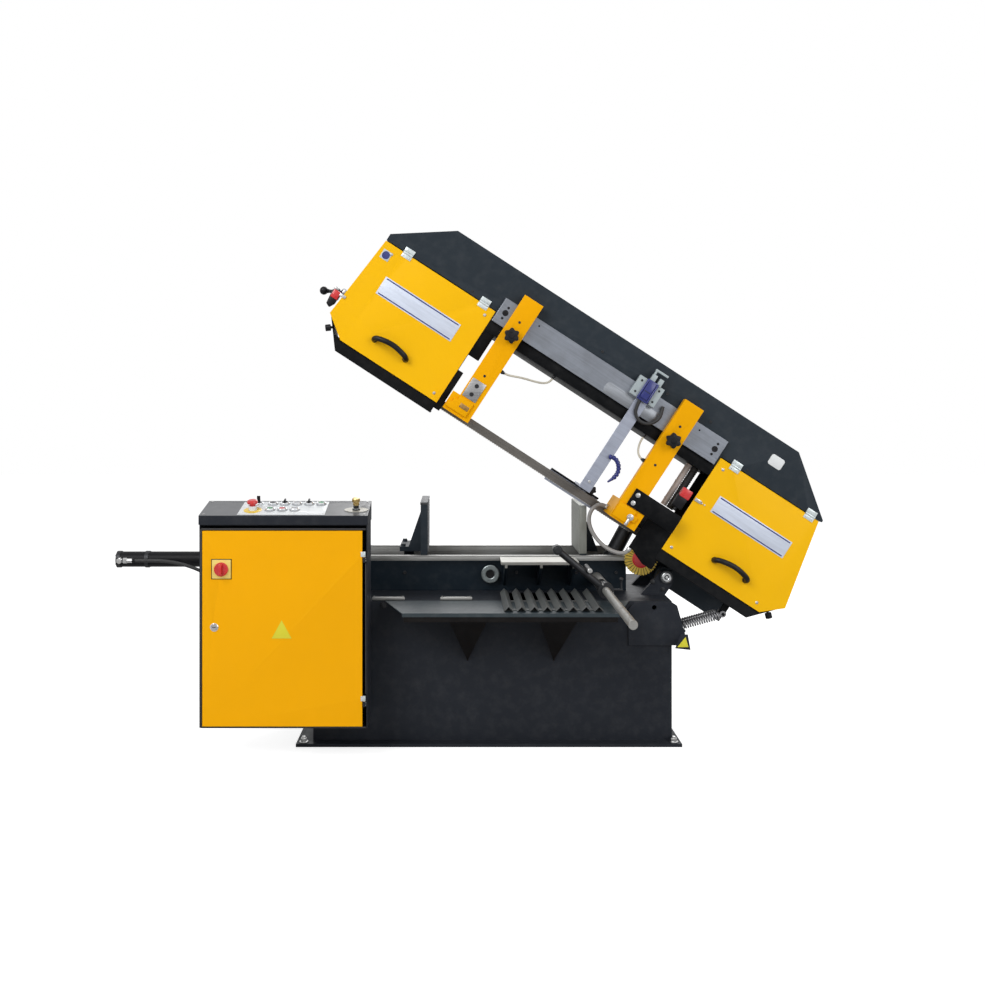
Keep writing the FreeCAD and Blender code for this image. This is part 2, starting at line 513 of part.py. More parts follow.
def controls():
    for name in KEYS:
        x, y = key_place(name)
        cap = cyl("z", "key_r", x, y, "-key_down", "key_down + panel_t + bezel_h + 2")
        if name.startswith("selector"):
            top = "panel_t + bezel_h + 2"
            grip = box(x + " - selector_grip / 2", x + " + selector_grip / 2", y + " - key_r", y + " + key_r", top,
                       top + " + selector_rise")
            cap = join(cap, grip)
        console_node(name, cap)
    head_z = "panel_t + collar_h + estop_rise"
    stem = cyl("z", "key_r", "estop_x", "estop_y", "-key_down", "key_down + " + head_z)
    console_node("estop_button", join(stem, cyl("z", "estop_r", "estop_x", "estop_y", head_z, "estop_cap")))
    pilot_top = "panel_t + bezel_h + 4"
    pilot = cyl("z", "key_r", "pilot_x", "pilot_y", "-key_down", "key_down + " + pilot_top)
    grip = box("pilot_x - selector_grip", "pilot_x + selector_grip", "pilot_y - 3", "pilot_y + 3", pilot_top,
               pilot_top + " + 2 * selector_rise")
    console_node("pilot_switch", join(pilot, grip))
    stem = cyl("z", "valve_stem", "valve_x", "valve_y", "-key_down", "key_down + valve_collar + 2")
    console_node("flow_knob", join(stem, cyl("z", "valve_r", "valve_x", "valve_y", "valve_collar + 1", "valve_h")))


def cabinet_door():
    pan = cut(box("door_left", "door_right", "door_front", "door_front + door_depth", "door_low", "door_high"),
              box("door_left + door_wall", "door_right - door_wall", "door_front + door_wall",
                  "door_front + door_depth", "door_low + door_wall", "door_high - door_wall"))
    holes = [cyl("y", "switch_shaft + key_gap", "switch_x", "door_front", "switch_z", "door_wall"),
             cyl("y", "switch_shaft + key_gap", "lock_x", "door_front", "lock_z", "door_wall")]
    leaves = []
    for z in ("hinge_low_z", "hinge_high_z"):
        height = "hinge_len / 2 - key_gap"
        knuckle = cyl("z", "hinge_r", "hinge_x", "hinge_y", z + " + key_gap", height)
        leaf = box("door_right - door_wall / 2", "hinge_x", "hinge_y - 1", "hinge_y + 2", z + " + key_gap",
                   z + " + hinge_len / 2")
        holes.append(cyl("z", "hinge_pin + run_gap", "hinge_x", "hinge_y", z, "hinge_len / 2"))
        leaves += [knuckle, leaf]
    node("cabinet_door", cut(join(pan, *leaves), *holes))
    disc = cyl("y", "switch_r", "switch_x", "door_front - key_gap - switch_t", "switch_z", "switch_t")
    grip = box("switch_x - switch_grip / 2", "switch_x + switch_grip / 2", "door_front - key_gap - 2 * switch_t",
               "door_front - switch_t", "switch_z - switch_r + 3", "switch_z + switch_r - 3")
    shaft = cyl("y", "switch_shaft", "switch_x", "door_front - key_gap - 1", "switch_z", "door_depth")
    node("main_switch", join(disc, grip, shaft))
    barrel = cyl("y", "lock_r", "lock_x", "door_front - key_gap - lock_t", "lock_z", "lock_t")
    tongue = cyl("y", "switch_shaft", "lock_x", "door_front - key_gap - 1", "lock_z", "door_depth")
    node("door_lock", join(barrel, tongue))


def internals():
    back = "cab_back - cab_wall"
    pieces = [box("cab_left + gear_inset", "cab_right - gear_inset", back + " - gear_plate", back,
                  "cab_low + gear_inset", "cab_high - gear_inset")]
    for row in range(3):
        z = "cab_low + 2 * gear_inset + %d * 2 * gear_box_h" % row
        for i in range(int(value("gear_count"))):
            x = "cab_left + 2 * gear_inset + %d * gear_pitch" % i
            pieces.append(box(x, x + " + gear_box_w", back + " - gear_plate - gear_box_d", back + " - gear_plate",
                              z, z + " + gear_box_h"))
    node("control_gear", join(*pieces))
    tank = cut(box("tank_left", "tank_right", "tank_front", "tank_back", "floor_plate", "floor_plate + tank_h"),
               box("tank_left + tank_wall", "tank_right - tank_wall", "tank_front + tank_wall",
                   "tank_back - tank_wall", "floor_plate + tank_wall", "floor_plate + tank_h - tank_wall"))
    pump = cyl("z", "pump_r", "pump_x", "(tank_front + tank_back) / 2", "floor_plate + tank_h", "pump_h")
    unit = box("unit_left", "unit_right", "unit_front", "unit_back", "floor_plate", "floor_plate + unit_h")
    motor = cyl("z", "unit_motor_r", "(unit_left + unit_right) / 2", "(unit_front + unit_back) / 2",
                "floor_plate + unit_h", "unit_motor_h")
    node("fluid_units", join(tank, pump), join(unit, motor))


# ---------------------------------------------------------------- length stop
def length_stop():
    rod = cyl("y", "stop_r", "stop_x", "stop_out", "stop_z", "bed_front - stop_out")
    sleeve = cyl("y", "sleeve_r", "stop_x", "sleeve_end", "stop_z", "bed_front - sleeve_end")
    node("stop_bar", join(rod, sleeve))
    collar = cyl("y", "car_r", "stop_x", "car_y - car_half", "stop_z", "2 * car_half")
    arm = bar_xz("finger_r", "stop_x", "stop_z", "finger_x", "finger_z", "car_y")
    tip = cyl("y", "finger_tip", "finger_x", "car_y - car_half", "finger_z", "2 * car_half")
    pin = cyl("y", "pin_r", "pin_x", "pin_front", "pin_z", "pin_back - pin_front")
    bore = cyl("y", "stop_r + car_gap", "stop_x", "car_y - car_half", "stop_z", "2 * car_half")
    node("stop_carriage", cut(join(collar, arm, tip, pin), bore))
    screw = cyl("x", "clamp_r", "stop_x + car_r + key_gap", "car_y", "stop_z", "clamp_x - stop_x - car_r")
    arm = cyl("z", "clamp_arm_r", "clamp_x - clamp_r", "car_y", "stop_z", "clamp_arm")
    knob = ball("2 * clamp_arm_r", "clamp_x - clamp_r", "car_y", "stop_z + clamp_arm")
    node("stop_lever", join(screw, arm, knob))


# ---------------------------------------------------------------- bow
def bow_frame():
    depth = "beam_rear - beam_front"
    skin = prism("xz", "beam_front", depth,
                 [("beam_left", "beam_step"), ("beam_left", "beam_end_z"), ("beam_top_left", "beam_top"),
                  ("beam_top_right", "beam_top"), ("beam_right", "beam_end_right_z"), ("beam_right", "beam_step"),
                  ("right_near", "beam_step"), ("right_near", "beam_low"), ("left_near", "beam_low"),
                  ("left_near", "beam_step")])
    inside = prism("xz", "beam_front + beam_wall", depth + " - 2 * beam_wall",
                   [("beam_left + 18", "beam_step + beam_wall"), ("beam_left + 18", "beam_end_z - 4"),
                    ("beam_top_left + 2", "beam_top - beam_wall"), ("beam_top_right - 2", "beam_top - beam_wall"),
                    ("beam_right - 14", "beam_step + beam_wall + 4"), ("beam_right - 14", "beam_step + beam_wall"),
                    ("right_near - beam_wall", "beam_step + beam_wall"),
                    ("right_near - beam_wall", "beam_low + beam_wall"),
                    ("left_near + beam_wall", "beam_low + beam_wall"),
                    ("left_near + beam_wall", "beam_step + beam_wall")])
    slit = box("left_near - beam_wall", "right_near + beam_wall", "-slit_half", "slit_half", "slit_low", "slit_high")
    column = box("-column_half", "column_half", "column_front", "beam_rear", "column_low", "beam_step + 2")
    lower_box = box("0", "box_right", "column_front", "beam_rear", "box_low", "box_high")
    hub = cyl("y", "hub_r", 0, "cheek_front + cheek_t + 4", 0, "cheek_back - cheek_front - cheek_t - 8")
    post = box("idler_x - idler_post_half", "idler_x + idler_post_half", "idler_post_front", "beam_rear",
               "idler_post_low", "beam_step + 2")
    brush_arm = box("brush_x - 20", "-column_half", "column_front", "column_front + brush_arm_t", "brush_z - 30",
                    "brush_z + 60")
    axle = cyl("y", "brush_bore", "brush_x", "-brush_half - 6", "brush_z", "column_front + brush_half + 8")
    clevis = [box("lift_pin_x - lift_eye", "-column_half + 4", y, y + " + lift_cheek", "lift_pin_z - lift_eye",
                  "lift_pin_z + lift_eye")
              for y in ("lift_y - lift_eye_half - lift_cheek_gap - lift_cheek",
                        "lift_y + lift_eye_half + lift_cheek_gap")]
    clevis.append(box("-column_half - 20", "-column_half + 4", "column_front + 6",
                      "lift_y + lift_eye_half + lift_cheek_gap + lift_cheek", "lift_pin_z - lift_eye",
                      "lift_pin_z + lift_eye"))
    pin = cyl("y", "lift_pin_r", "lift_pin_x", "lift_y - lift_eye_half - lift_cheek_gap - lift_cheek / 2",
              "lift_pin_z", "2 * lift_eye_half + 2 * lift_cheek_gap + lift_cheek")
    bore = cyl("y", "shaft_r + run_gap", 0, "cheek_front", 0, "cheek_back - cheek_front + cheek_t")
    leaves = []
    for side in ("left", "right"):
        for at in ("first", "second"):
            x = "%s_%s_x" % (side, at)
            leaves.append(cyl("x", "knuckle_r", x + " - knuckle_in + key_gap", "knuckle_y", "knuckle_z",
                              "2 * (knuckle_in - key_gap)"))
            leaves.append(box(x + " - knuckle_in + key_gap", x + " + knuckle_in - key_gap", "knuckle_y",
                              "beam_front", "knuckle_z", "leaf_high"))
            leaves.append(box(x + " - knuckle_out", x + " + knuckle_out", "beam_front - leaf_t", "beam_front",
                              "leaf_high - 12", "leaf_high"))
    shell = cut(skin, inside, slit)
    bow_node("bow_frame", cut(join(shell, column, lower_box, hub, post, brush_arm, axle, pin, *(clevis + leaves)),
                              bore))


def outline(near, slope, far, top_far, low, side, inset="0"):
    """A housing's outline: near is the blade side, far the rounded end, side the sign of far minus near."""
    return [(near, low), (slope, low), ("%s - (%s) * %s" % (far, inset, side), "cover_far_z"),
            ("%s - (%s) * %s" % (top_far, inset, side), "cover_high - (%s)" % inset),
            (near, "cover_high - (%s)" % inset)]


def housing(near, slope, far, top_far, side, extra, holes):
    """A rim open to the front and to the blade side, on a back plate that stays above the vise rails."""
    depth = "rim_rear - beam_front"
    outer = prism("xz", "beam_front", depth, outline(near, slope, far, top_far, "rim_low", side, "rim_inset"))
    inner = prism("xz", "beam_front", depth,
                  outline("%s - 9 * (%s)" % (near, side), slope, far, top_far, "rim_low + rim_wall", side,
                          "rim_inset + rim_wall"))
    back = prism("xz", "rim_rear", "back_plate", outline(near, slope, far, top_far, "back_low", side, "rim_inset"))
    skirt = cut(prism("xz", "beam_front + skirt_step", "rim_wall",
                      outline(near, slope, far, top_far, "rim_low", side, "rim_inset")),
                box("left_far - 50", "right_far + 50", "beam_front", "beam_front + 4 * rim_wall",
                    "cover_low + skirt_lap", "cover_high"))
    return cut(join(cut(outer, inner), back, skirt, *extra), *holes)


def housings():
    left_extra = [box("left_near", "left_guard_edge", "guard_y", "guard_y + guard_t", "left_guard_low",
                      "left_guard_high"),
                  box("left_near", "side_strip_edge", "guard_y", "guard_y + guard_t", "side_strip_low", "beam_low"),
                  box("left_near - 30", "left_near", "guard_y", "guard_y + guard_t", "rim_low", "cover_high - 8"),
                  box("left_far + 10", "left_far + 10 + nut_t", "rim_rear", "slide_front + slide_t", "screw_z - 26",
                      "screw_z + 26")]
    slot = box("idler_x - axle_slot", "idler_x + axle_slot + slide_travel", "rim_rear", "rim_rear + back_plate",
               "wheel_z - axle_slot", "wheel_z + axle_slot")
    screw_hole = cyl("x", "screw_r + nut_gap", "left_far", "slide_front + slide_t / 2", "screw_z", "3 * nut_t")
    bow_node("housing_left", housing("left_near", "left_slope + 4", "left_far", "left_top_far", "(-1)", left_extra,
                                     [slot, screw_hole]))
    right_extra = [prism("xz", "guard_y", "guard_t",
                         [("guard_left", "guard_high"), ("guard_left", "guard_corner"),
                          ("guard_left + 14", "guard_corner"), ("brush_x - 15", "guard_low"),
                          ("right_near + 12", "guard_low"), ("right_near + 12", "guard_high")]),
                   box("right_near + 2", "right_near + 12", "guard_y", "guard_y + guard_t", "guard_high",
                       "cover_high - 8"),
                   box("hook_x - hanger_half", "hook_x + hanger_half", "hook_y - hanger_t / 2",
                       "hook_y + hanger_t / 2", "-hanger_half", "rim_low + rim_wall"),
                   cyl("y", "hook_r", "hook_x", "hook_y - hook_len / 2", 0, "hook_len")]
    shaft_hole = cyl("y", "shaft_r + rim_wall", "drive_x", "rim_rear", "wheel_z", "back_plate")
    brush_notch = box("right_near", "brush_x + brush_r + 8", "-brush_half - 10", "rim_rear + back_plate", "rim_low",
                      "rim_low + rim_wall")
    bow_node("housing_right", housing("right_near", "right_slope - 30", "right_far", "right_top_far", "(1)",
                                      right_extra, [shaft_hole, brush_notch]))


def covers():
    for name, near, slope, far, top_far, side in (
            ("left", "left_near", "left_slope", "left_far", "left_top_far", "(-1)"),
            ("right", "right_near", "right_slope", "right_far", "right_top_far", "(1)")):
        sheet = prism("xz", "beam_front - cover_t", "cover_t", outline(near, slope, far, top_far, "cover_low", side))
        notches = [box("%s_%s_x - knuckle_in" % (name, at), "%s_%s_x + knuckle_in" % (name, at),
                       "beam_front - 2 * cover_t", "beam_front + cover_t", "knuckle_z - knuckle_r - leaf_t",
                       "knuckle_z + knuckle_r") for at in ("first", "second")]
        knuckles = [cyl("x", "knuckle_r", place, "knuckle_y", "knuckle_z", "knuckle_len")
                    for at in ("first", "second") for place in ("%s_%s_x - knuckle_out" % (name, at),
                                                                "%s_%s_x + knuckle_in" % (name, at))]
        bow_node("cover_" + name, join(cut(sheet, *notches), *knuckles))
        x, face = "handle_%s_x" % name, "beam_front - cover_t"
        legs = [cyl("y", "handle_r", "%s %s handle_half" % (x, sign), face + " - handle_out", "handle_z",
                    "handle_out") for sign in "-+"]
        grip = cyl("x", "handle_r", x + " - handle_half - handle_r", face + " - handle_out", "handle_z",
                   "2 * handle_half + 2 * handle_r")
        bow_node("handle_" + name, join(grip, *legs))


def latches():
    """Knobs on short screws that stand out of the rims' slanted corners."""
    for name in ("left", "right"):
        x, z, turn = "latch_%s_x" % name, "latch_%s_z" % name, "(latch_%s_turn)" % name

        def out(reach):
            return "%s + (%s) * cos(%s)" % (x, reach, turn), "%s + (%s) * sin(%s)" % (z, reach, turn)

        stem = bar_xz("latch_stem_r", *out("run_gap"), *out("latch_stem + 2"), "latch_y")
        knob = bar_xz("latch_r", *out("latch_stem"), *out("latch_stem + latch_t"), "latch_y")
        bow_node("latch_" + name, join(stem, knob))


def rail_bar():
    bow_node("rail_bar", box("railbar_left", "railbar_right", "beam_front - railbar_t", "beam_front", "railbar_low",
                             "railbar_high"))


def guide_arms():
    rear = "beam_front - railbar_t - arm_gap"
    for name, x, out in (("left", "arm_left_x", "-block_left_out"), ("right", "arm_right_x", "block_right_out")):
        arm = box(x, x + " + arm_w", "arm_front", rear, "block_high - 2", "arm_high")
        left = x + " + %s" % out if name == "left" else x
        right = x + " + arm_w" if name == "left" else x + " + arm_w + %s" % out
        block = box(left, right, "arm_front", "block_rear", "block_low", "block_high")
        solids = [arm, block]
        if name == "right":
            solids.append(box("strip_left", "strip_right", "arm_front - strip_t", "arm_front", "block_high - 3",
                              "guard_high"))
        teeth_line = "wheel_z - wheel_r - blade_gap - blade_t / 2"
        groove = box(left, right, "-blade_t / 2 - blade_play", "blade_t / 2 + blade_play", "block_low",
                     teeth_line + " + blade_w / 2 + 2 * blade_play")
        bore = cyl("y", "knob_stem_r + key_gap", x + " + knob_in", "arm_front", "knob_z", rear + " - arm_front")
        bow_node("arm_" + name, cut(join(*solids), groove, bore))
        front = "arm_front - knob_stem - knob_t"
        disc = cyl("y", "knob_r - knob_lobe_r", x + " + knob_in", front, "knob_z", "knob_t")
        lobes = []
        for i in range(int(value("knob_lobes"))):
            turn = "%d * 360 / knob_lobes" % i
            lobes.append(cyl("y", "knob_lobe_r",
                             x + " + knob_in + (knob_r - knob_lobe_r) * cos(%s)" % turn, front,
                             "knob_z + (knob_r - knob_lobe_r) * sin(%s)" % turn, "knob_t"))
        stem = cyl("y", "knob_stem_r", x + " + knob_in", "arm_front - knob_stem", "knob_z",
                   rear + " - arm_front + knob_stem")
        bow_node("knob_" + name, join(disc, stem, *lobes))


def wheels():
    for name, x in (("drive", "drive_x"), ("idler", "idler_x")):
        rim = ring("y", "wheel_r", "wheel_r - rim_t", x, "-wheel_half", "wheel_z", "2 * wheel_half")
        web = cyl("y", "wheel_r - rim_t / 2", x, "-web_half", "wheel_z", "2 * web_half")
        hub = cyl("y", "wheel_hub_r", x, "-wheel_half", "wheel_z", "2 * wheel_half")
        holes = []
        for i in range(int(value("light_count"))):
            turn = "%d * 360 / light_count" % i
            holes.append(cyl("y", "light_r", x + " + light_at * cos(%s)" % turn, "-wheel_half",
                             "wheel_z + light_at * sin(%s)" % turn, "2 * wheel_half"))
        if name == "drive":
            shaft = cyl("y", "shaft_r", x, "axle_front", "wheel_z", "gear_front + 80 - axle_front")
            bow_node("drive_wheel", join(cut(join(rim, web, hub), *holes), shaft))
        else:
            bore = cyl("y", "shaft_r + run_gap", x, "-wheel_half", "wheel_z", "2 * wheel_half")
            bow_node("idler_wheel", cut(join(rim, web, hub), bore, *holes))


def blade():
    """The endless band: flat on the wheels, turned on edge between the guides."""
    r_in = value("wheel_r + blade_gap")
    thick, width, z_mid = value("blade_t"), value("blade_w"), value("wheel_z")
    drive, idler = value("drive_x"), value("idler_x")
    run_z = z_mid - r_in - thick / 2

    def section(x, twist):
        half_t, half_w = thick / 2, width / 2
        turn = math.radians(twist)
        points = []
        for a, b in ((-half_w, -half_t), (half_w, -half_t), (half_w, half_t), (-half_w, half_t)):
            y = a * math.cos(turn) - b * math.sin(turn)
            z = a * math.sin(turn) + b * math.cos(turn)
            points.append(V(x, y, run_z + z))
        return Part.makePolygon(points + points[:1])

    def wrap(x, side):
        tube = Part.makeCylinder(r_in + thick, width, V(x, -width / 2, z_mid), V(0, 1, 0)).cut(
            Part.makeCylinder(r_in, width, V(x, -width / 2, z_mid), V(0, 1, 0)))
        reach = 2 * r_in
        start = x if side > 0 else x - reach
        return tube.common(Part.makeBox(reach, width, 2 * reach, V(start, -width / 2, z_mid - reach)))

    def run(x0, x1, twist0, twist1):
        steps = 6 if twist0 != twist1 else 1
        wires = [section(x0 + (x1 - x0) * i / steps, twist0 + (twist1 - twist0) * i / steps)
                 for i in range(steps + 1)]
        return Part.makeLoft(wires, True, True)

    pieces = [wrap(drive, 1), wrap(idler, -1),
              run(drive, value("drive_twist_from"), 0, 0),
              run(value("drive_twist_from"), value("drive_twist_to"), 0, 90),
              run(value("drive_twist_to"), value("idler_twist_to"), 90, 90),
              run(value("idler_twist_to"), value("idler_twist_from"), 90, 0),
              run(value("idler_twist_from"), idler, 0, 0),
              Part.makeBox(drive - idler, width, thick, V(idler, -width / 2, z_mid + r_in))]
    bow_node("blade", free(pieces[0].multiFuse(pieces[1:]).removeSplitter()))


def tension_slide():
    y_mid = "slide_front + slide_t / 2"
    slide = box("idler_x - slide_half", "idler_x + slide_half", "slide_front", "slide_front + slide_t",
                "wheel_z - slide_half", "wheel_z + slide_half")
    axle = cyl("y", "shaft_r", "idler_x", "axle_front", "wheel_z", "slide_front - axle_front")
    screw = cyl("x", "screw_r", "screw_end + lever_hub_t", y_mid, "screw_z",
                "idler_x - slide_half - screw_end - lever_hub_t")
    bow_node("idler_slide", join(slide, axle, screw))
    hub = cyl("x", "lever_hub_r", "screw_end", y_mid, "screw_z", "lever_hub_t")
    arm = bar_xz("lever_r", "screw_end + lever_hub_t / 2", "screw_z", "lever_ball_x", "lever_ball_z", y_mid)
    bow_node("tension_lever", join(hub, arm, ball("lever_ball_r", "lever_ball_x", y_mid, "lever_ball_z")))


def gearmotor():
    case = box("column_half", "drive_x + gear_half", "gear_front", "gear_front + gear_depth", "wheel_z - gear_half",
               "wheel_z + gear_half")
    motor = cyl("y", "motor_r", "drive_x", "gear_front + gear_depth", "wheel_z", "motor_len")
    terminal = box("drive_x - motor_box", "drive_x + motor_box", "gear_front + gear_depth + 40",
                   "gear_front + gear_depth + 40 + 2 * motor_box", "wheel_z", "wheel_z + motor_r + motor_box / 2")
    bore = cyl("y", "shaft_r + run_gap", "drive_x", "gear_front", "wheel_z", "gear_depth - 10")
    bow_node("gearmotor", cut(join(case, motor, terminal), bore))


def chip_brush():
    disc = cyl("y", "brush_r", "brush_x", "-brush_half", "brush_z", "2 * brush_half")
    hub = cyl("y", "brush_hub_r", "brush_x", "-brush_half - 4", "brush_z", "2 * brush_half + 8")
    bore = cyl("y", "brush_bore + run_gap", "brush_x", "-brush_half - 4", "brush_z", "2 * brush_half + 8")
    bow_node("chip_brush", cut(join(disc, hub), bore))


def feeler():
    """A flat bar that slides up through a clamp block on the rail when its foot meets the stock."""
    rear = "beam_front - railbar_t"
    front = rear + " - sensor_t"
    bar_rear = rear + " - 2 * bar_gap"
    cheeks = [box("sensor_left", "bar_left - bar_gap", front, rear, "sensor_low", "sensor_high"),
              box("bar_right + bar_gap", "sensor_right", front, rear, "sensor_low", "sensor_high"),
              box("bar_left - bar_gap", "bar_right + bar_gap", front, bar_rear + " - bar_t - bar_gap",
                  "sensor_low + 8", "sensor_high")]
    bow_node("feeler_clamp", join(*cheeks))
    bar = box("bar_left", "bar_right", bar_rear + " - bar_t", bar_rear, "bar_low", "bar_top")
    stub = box("bar_left", "bar_right", bar_rear, "foot_plate_y + foot_plate_t", "bar_low", "bar_low + 10")
    foot = box("foot_plate_left", "foot_plate_right", "foot_plate_y", "foot_plate_y + foot_plate_t",
               "foot_plate_low", "foot_plate_high")
    web = box("bar_left", "bar_right", "foot_plate_y", "foot_plate_y + foot_plate_t", "foot_plate_high - 4",
              "bar_low + 10")
    bow_node("feeler_bar", join(bar, stub, foot, web))


# ---------------------------------------------------------------- lift cylinder
PIN_DX = "(pivot_x - lift_x + lift_pin_x * cos(bow_angle) + lift_pin_z * sin(bow_angle))"
PIN_DZ = "(pivot_z - lift_z - lift_pin_x * sin(bow_angle) + lift_pin_z * cos(bow_angle))"
LIFT_LEN = "sqrt(%s ^ 2 + %s ^ 2)" % (PIN_DX, PIN_DZ)
LIFT_LEAN = "atan2(%s; %s)" % (PIN_DX, PIN_DZ)


def lift_cylinder():
    """Rod and barrel share an axis from the base pin to the bow's pin."""
    eye = cyl("y", "lift_eye", 0, "-lift_eye_half", 0, "2 * lift_eye_half")
    bore = cyl("y", "lift_base_pin + run_gap", 0, "-lift_eye_half", 0, "2 * lift_eye_half")
    stem = cyl("z", "lift_rod_r", 0, 0, "lift_eye / 2", "lift_stem - lift_eye / 2")
    piston = cyl("z", "lift_bore - run_gap", 0, 0, "lift_stem - lift_piston", "lift_piston")
    rod = node("lift_rod", cut(join(eye, stem, piston), bore))
    tube = cut(cyl("z", "lift_r", 0, 0, "lift_stroke + lift_closed", LIFT_LEN + " - lift_stroke - lift_closed"),
               cyl("z", "lift_bore", 0, 0, "lift_stroke + lift_closed + 12",
                   LIFT_LEN + " - lift_stroke - lift_closed - 12 - lift_eye - 4"),
               cyl("z", "lift_rod_r + run_gap", 0, 0, "lift_stroke + lift_closed", "20"))
    head = cyl("y", "lift_eye", 0, "-lift_eye_half", LIFT_LEN, "2 * lift_eye_half")
    head_bore = cyl("y", "lift_pin_r + lift_play", 0, "-lift_r", LIFT_LEN, "2 * lift_r")
    barrel = node("lift_barrel", cut(join(tube, head), head_bore))
    for part in (rod, barrel):
        place(part, "lift_x", "lift_y", "lift_z", (0, 1, 0), LIFT_LEAN)


def return_springs():
    """Two tension springs between the base's ear and the hook under the bow."""
    hook_dx = "(pivot_x - spring_x + hook_x * cos(bow_angle))"
    hook_dz = "(pivot_z - spring_z - hook_x * sin(bow_angle))"
    length = "sqrt(%s ^ 2 + %s ^ 2)" % (hook_dx, hook_dz)
    springs = []
    for i in range(2):
        y = "%d * spring_pitch" % i
        coil = ring("z", "spring_r", "spring_hole", 0, y, "spring_inset", length + " - 2 * spring_inset")
        ends = []
        for eye_z, disc_z in (("0", "spring_inset"), (length, length + " - spring_inset - spring_wire")):
            ends.append(cyl("y", "spring_eye", 0, y + " - spring_wire - 1", eye_z, "2 * spring_wire + 2"))
            ends.append(cyl("z", "spring_r", 0, y, disc_z, "spring_wire"))
        wires = [cyl("z", "spring_wire", 0, y, "spring_pin + spring_wire", "spring_inset - spring_pin"),
                 cyl("z", "spring_wire", 0, y, length + " - spring_inset - spring_wire",
                     "spring_inset - spring_pin")]
        eyes = [cyl("y", "spring_pin + run_gap", 0, y + " - spring_wire - 1", z, "2 * spring_wire + 2")
                for z in ("0", length)]
        springs.append(cut(join(coil, *(ends + wires)), *eyes))
    place(node("return_springs", *springs), "spring_x", "spring_y", "spring_z", (0, 1, 0),
          "atan2(%s; %s)" % (hook_dx, hook_dz))


# ---------------------------------------------------------------- hoses on the bow
LEFT_HOSE = [(-988, -160, 320), (-962, -160, 320), (-922, -148, 338), (-890, -132, 350), (-857, -116, 360),
             (-826, -104, 372), (-808, -98, 388), (-803, -96, 405), (-803, -96, 423)]
RIGHT_HOSE = [(-339, -160, 332), (-355, -160, 332), (-369, -157, 339), (-379, -150, 352), (-384, -140, 368),
              (-386, -128, 384), (-386, -119, 402), (-386, -119, 423)]
BRUSH_HOSE = [(-339.1, -44, 104), (-358, -44, 104), (-377, -44, 94), (-387, -44, 72), (-386, -44, 44),
              (-372, -46, 16), (-345, -53, -8), (-309, -64, -25), (-270, -80, -32), (-236, -99, -29),
              (-209, -117, -17), (-196, -125, 1), (-196, -125, 19.9)]


def bow_hoses():
    bow_node("guide_hoses", tube_route(LEFT_HOSE, value("thin_hose_r")), tube_route(RIGHT_HOSE, value("thin_hose_r")))
    tubes = [cyl("z", "conduit_r", "conduit_x + %d * conduit_pitch" % i, "conduit_y", "conduit_low",
                 "beam_low - conduit_low") for i in range(2)]
    bow_node("bow_lines", tube_route(BRUSH_HOSE, value("grey_hose_r")), *tubes)


def build():
    base_frame()
    pivot_shaft()
    chip_tray()
    grate()
    outfeed_table()
    vise_bed()
    vise_jaws()
    vise_cylinder()
    vise_hose()
    cabinet()
    console_panel()
    controls()
    cabinet_door()
    internals()
    length_stop()
    bow_frame()
    housings()
    covers()
    latches()
    rail_bar()
    guide_arms()
    wheels()
    blade()
    tension_slide()
    gearmotor()
    chip_brush()
    feeler()
    lift_cylinder()
    return_springs()
    bow_hoses()


build()
doc.recompute()
faults = ["%s %s" % (o.Name, o.State) for o in doc.Objects if "Invalid" in o.State or "Error" in o.State]
faults += [o.Label for o in NODES if o.Shape.isNull() or not o.Shape.isValid() or not o.Shape.Solids]
if faults:
    raise RuntimeError("objects that failed: " + ", ".join(faults))
os.makedirs("parts", exist_ok=True)
for part in NODES:
    part.Shape.exportStep(os.path.join("parts", part.Label + ".step"))
print("%d sub-parts written" % len(NODES))
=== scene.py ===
import json
import math

import bmesh
import bpy
from mathutils import Matrix, Vector


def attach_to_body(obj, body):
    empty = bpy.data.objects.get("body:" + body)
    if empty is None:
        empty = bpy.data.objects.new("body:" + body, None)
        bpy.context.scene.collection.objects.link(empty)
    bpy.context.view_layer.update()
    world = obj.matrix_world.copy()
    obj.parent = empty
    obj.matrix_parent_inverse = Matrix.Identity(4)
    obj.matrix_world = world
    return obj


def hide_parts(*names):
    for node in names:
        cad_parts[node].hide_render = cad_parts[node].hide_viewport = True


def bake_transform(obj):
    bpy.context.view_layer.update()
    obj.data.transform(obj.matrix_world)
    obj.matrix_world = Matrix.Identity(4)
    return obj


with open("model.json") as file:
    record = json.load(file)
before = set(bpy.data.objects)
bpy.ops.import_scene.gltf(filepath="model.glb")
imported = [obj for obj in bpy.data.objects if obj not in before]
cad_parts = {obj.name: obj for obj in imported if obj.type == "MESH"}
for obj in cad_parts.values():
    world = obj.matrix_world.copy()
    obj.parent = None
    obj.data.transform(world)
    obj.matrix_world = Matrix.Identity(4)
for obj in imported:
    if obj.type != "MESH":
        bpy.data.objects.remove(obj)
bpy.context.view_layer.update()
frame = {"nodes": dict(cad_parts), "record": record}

bl_info = {
    "name": "Pivot band saw",
    "version": (1, 0, 0),
    "blender": (4, 5, 0),
    "location": "View3D > Sidebar > Band saw",
    "description": "Dresses the band saw's solids with finishes, fasteners, controls, hoses and guards",
    "category": "Object",
}

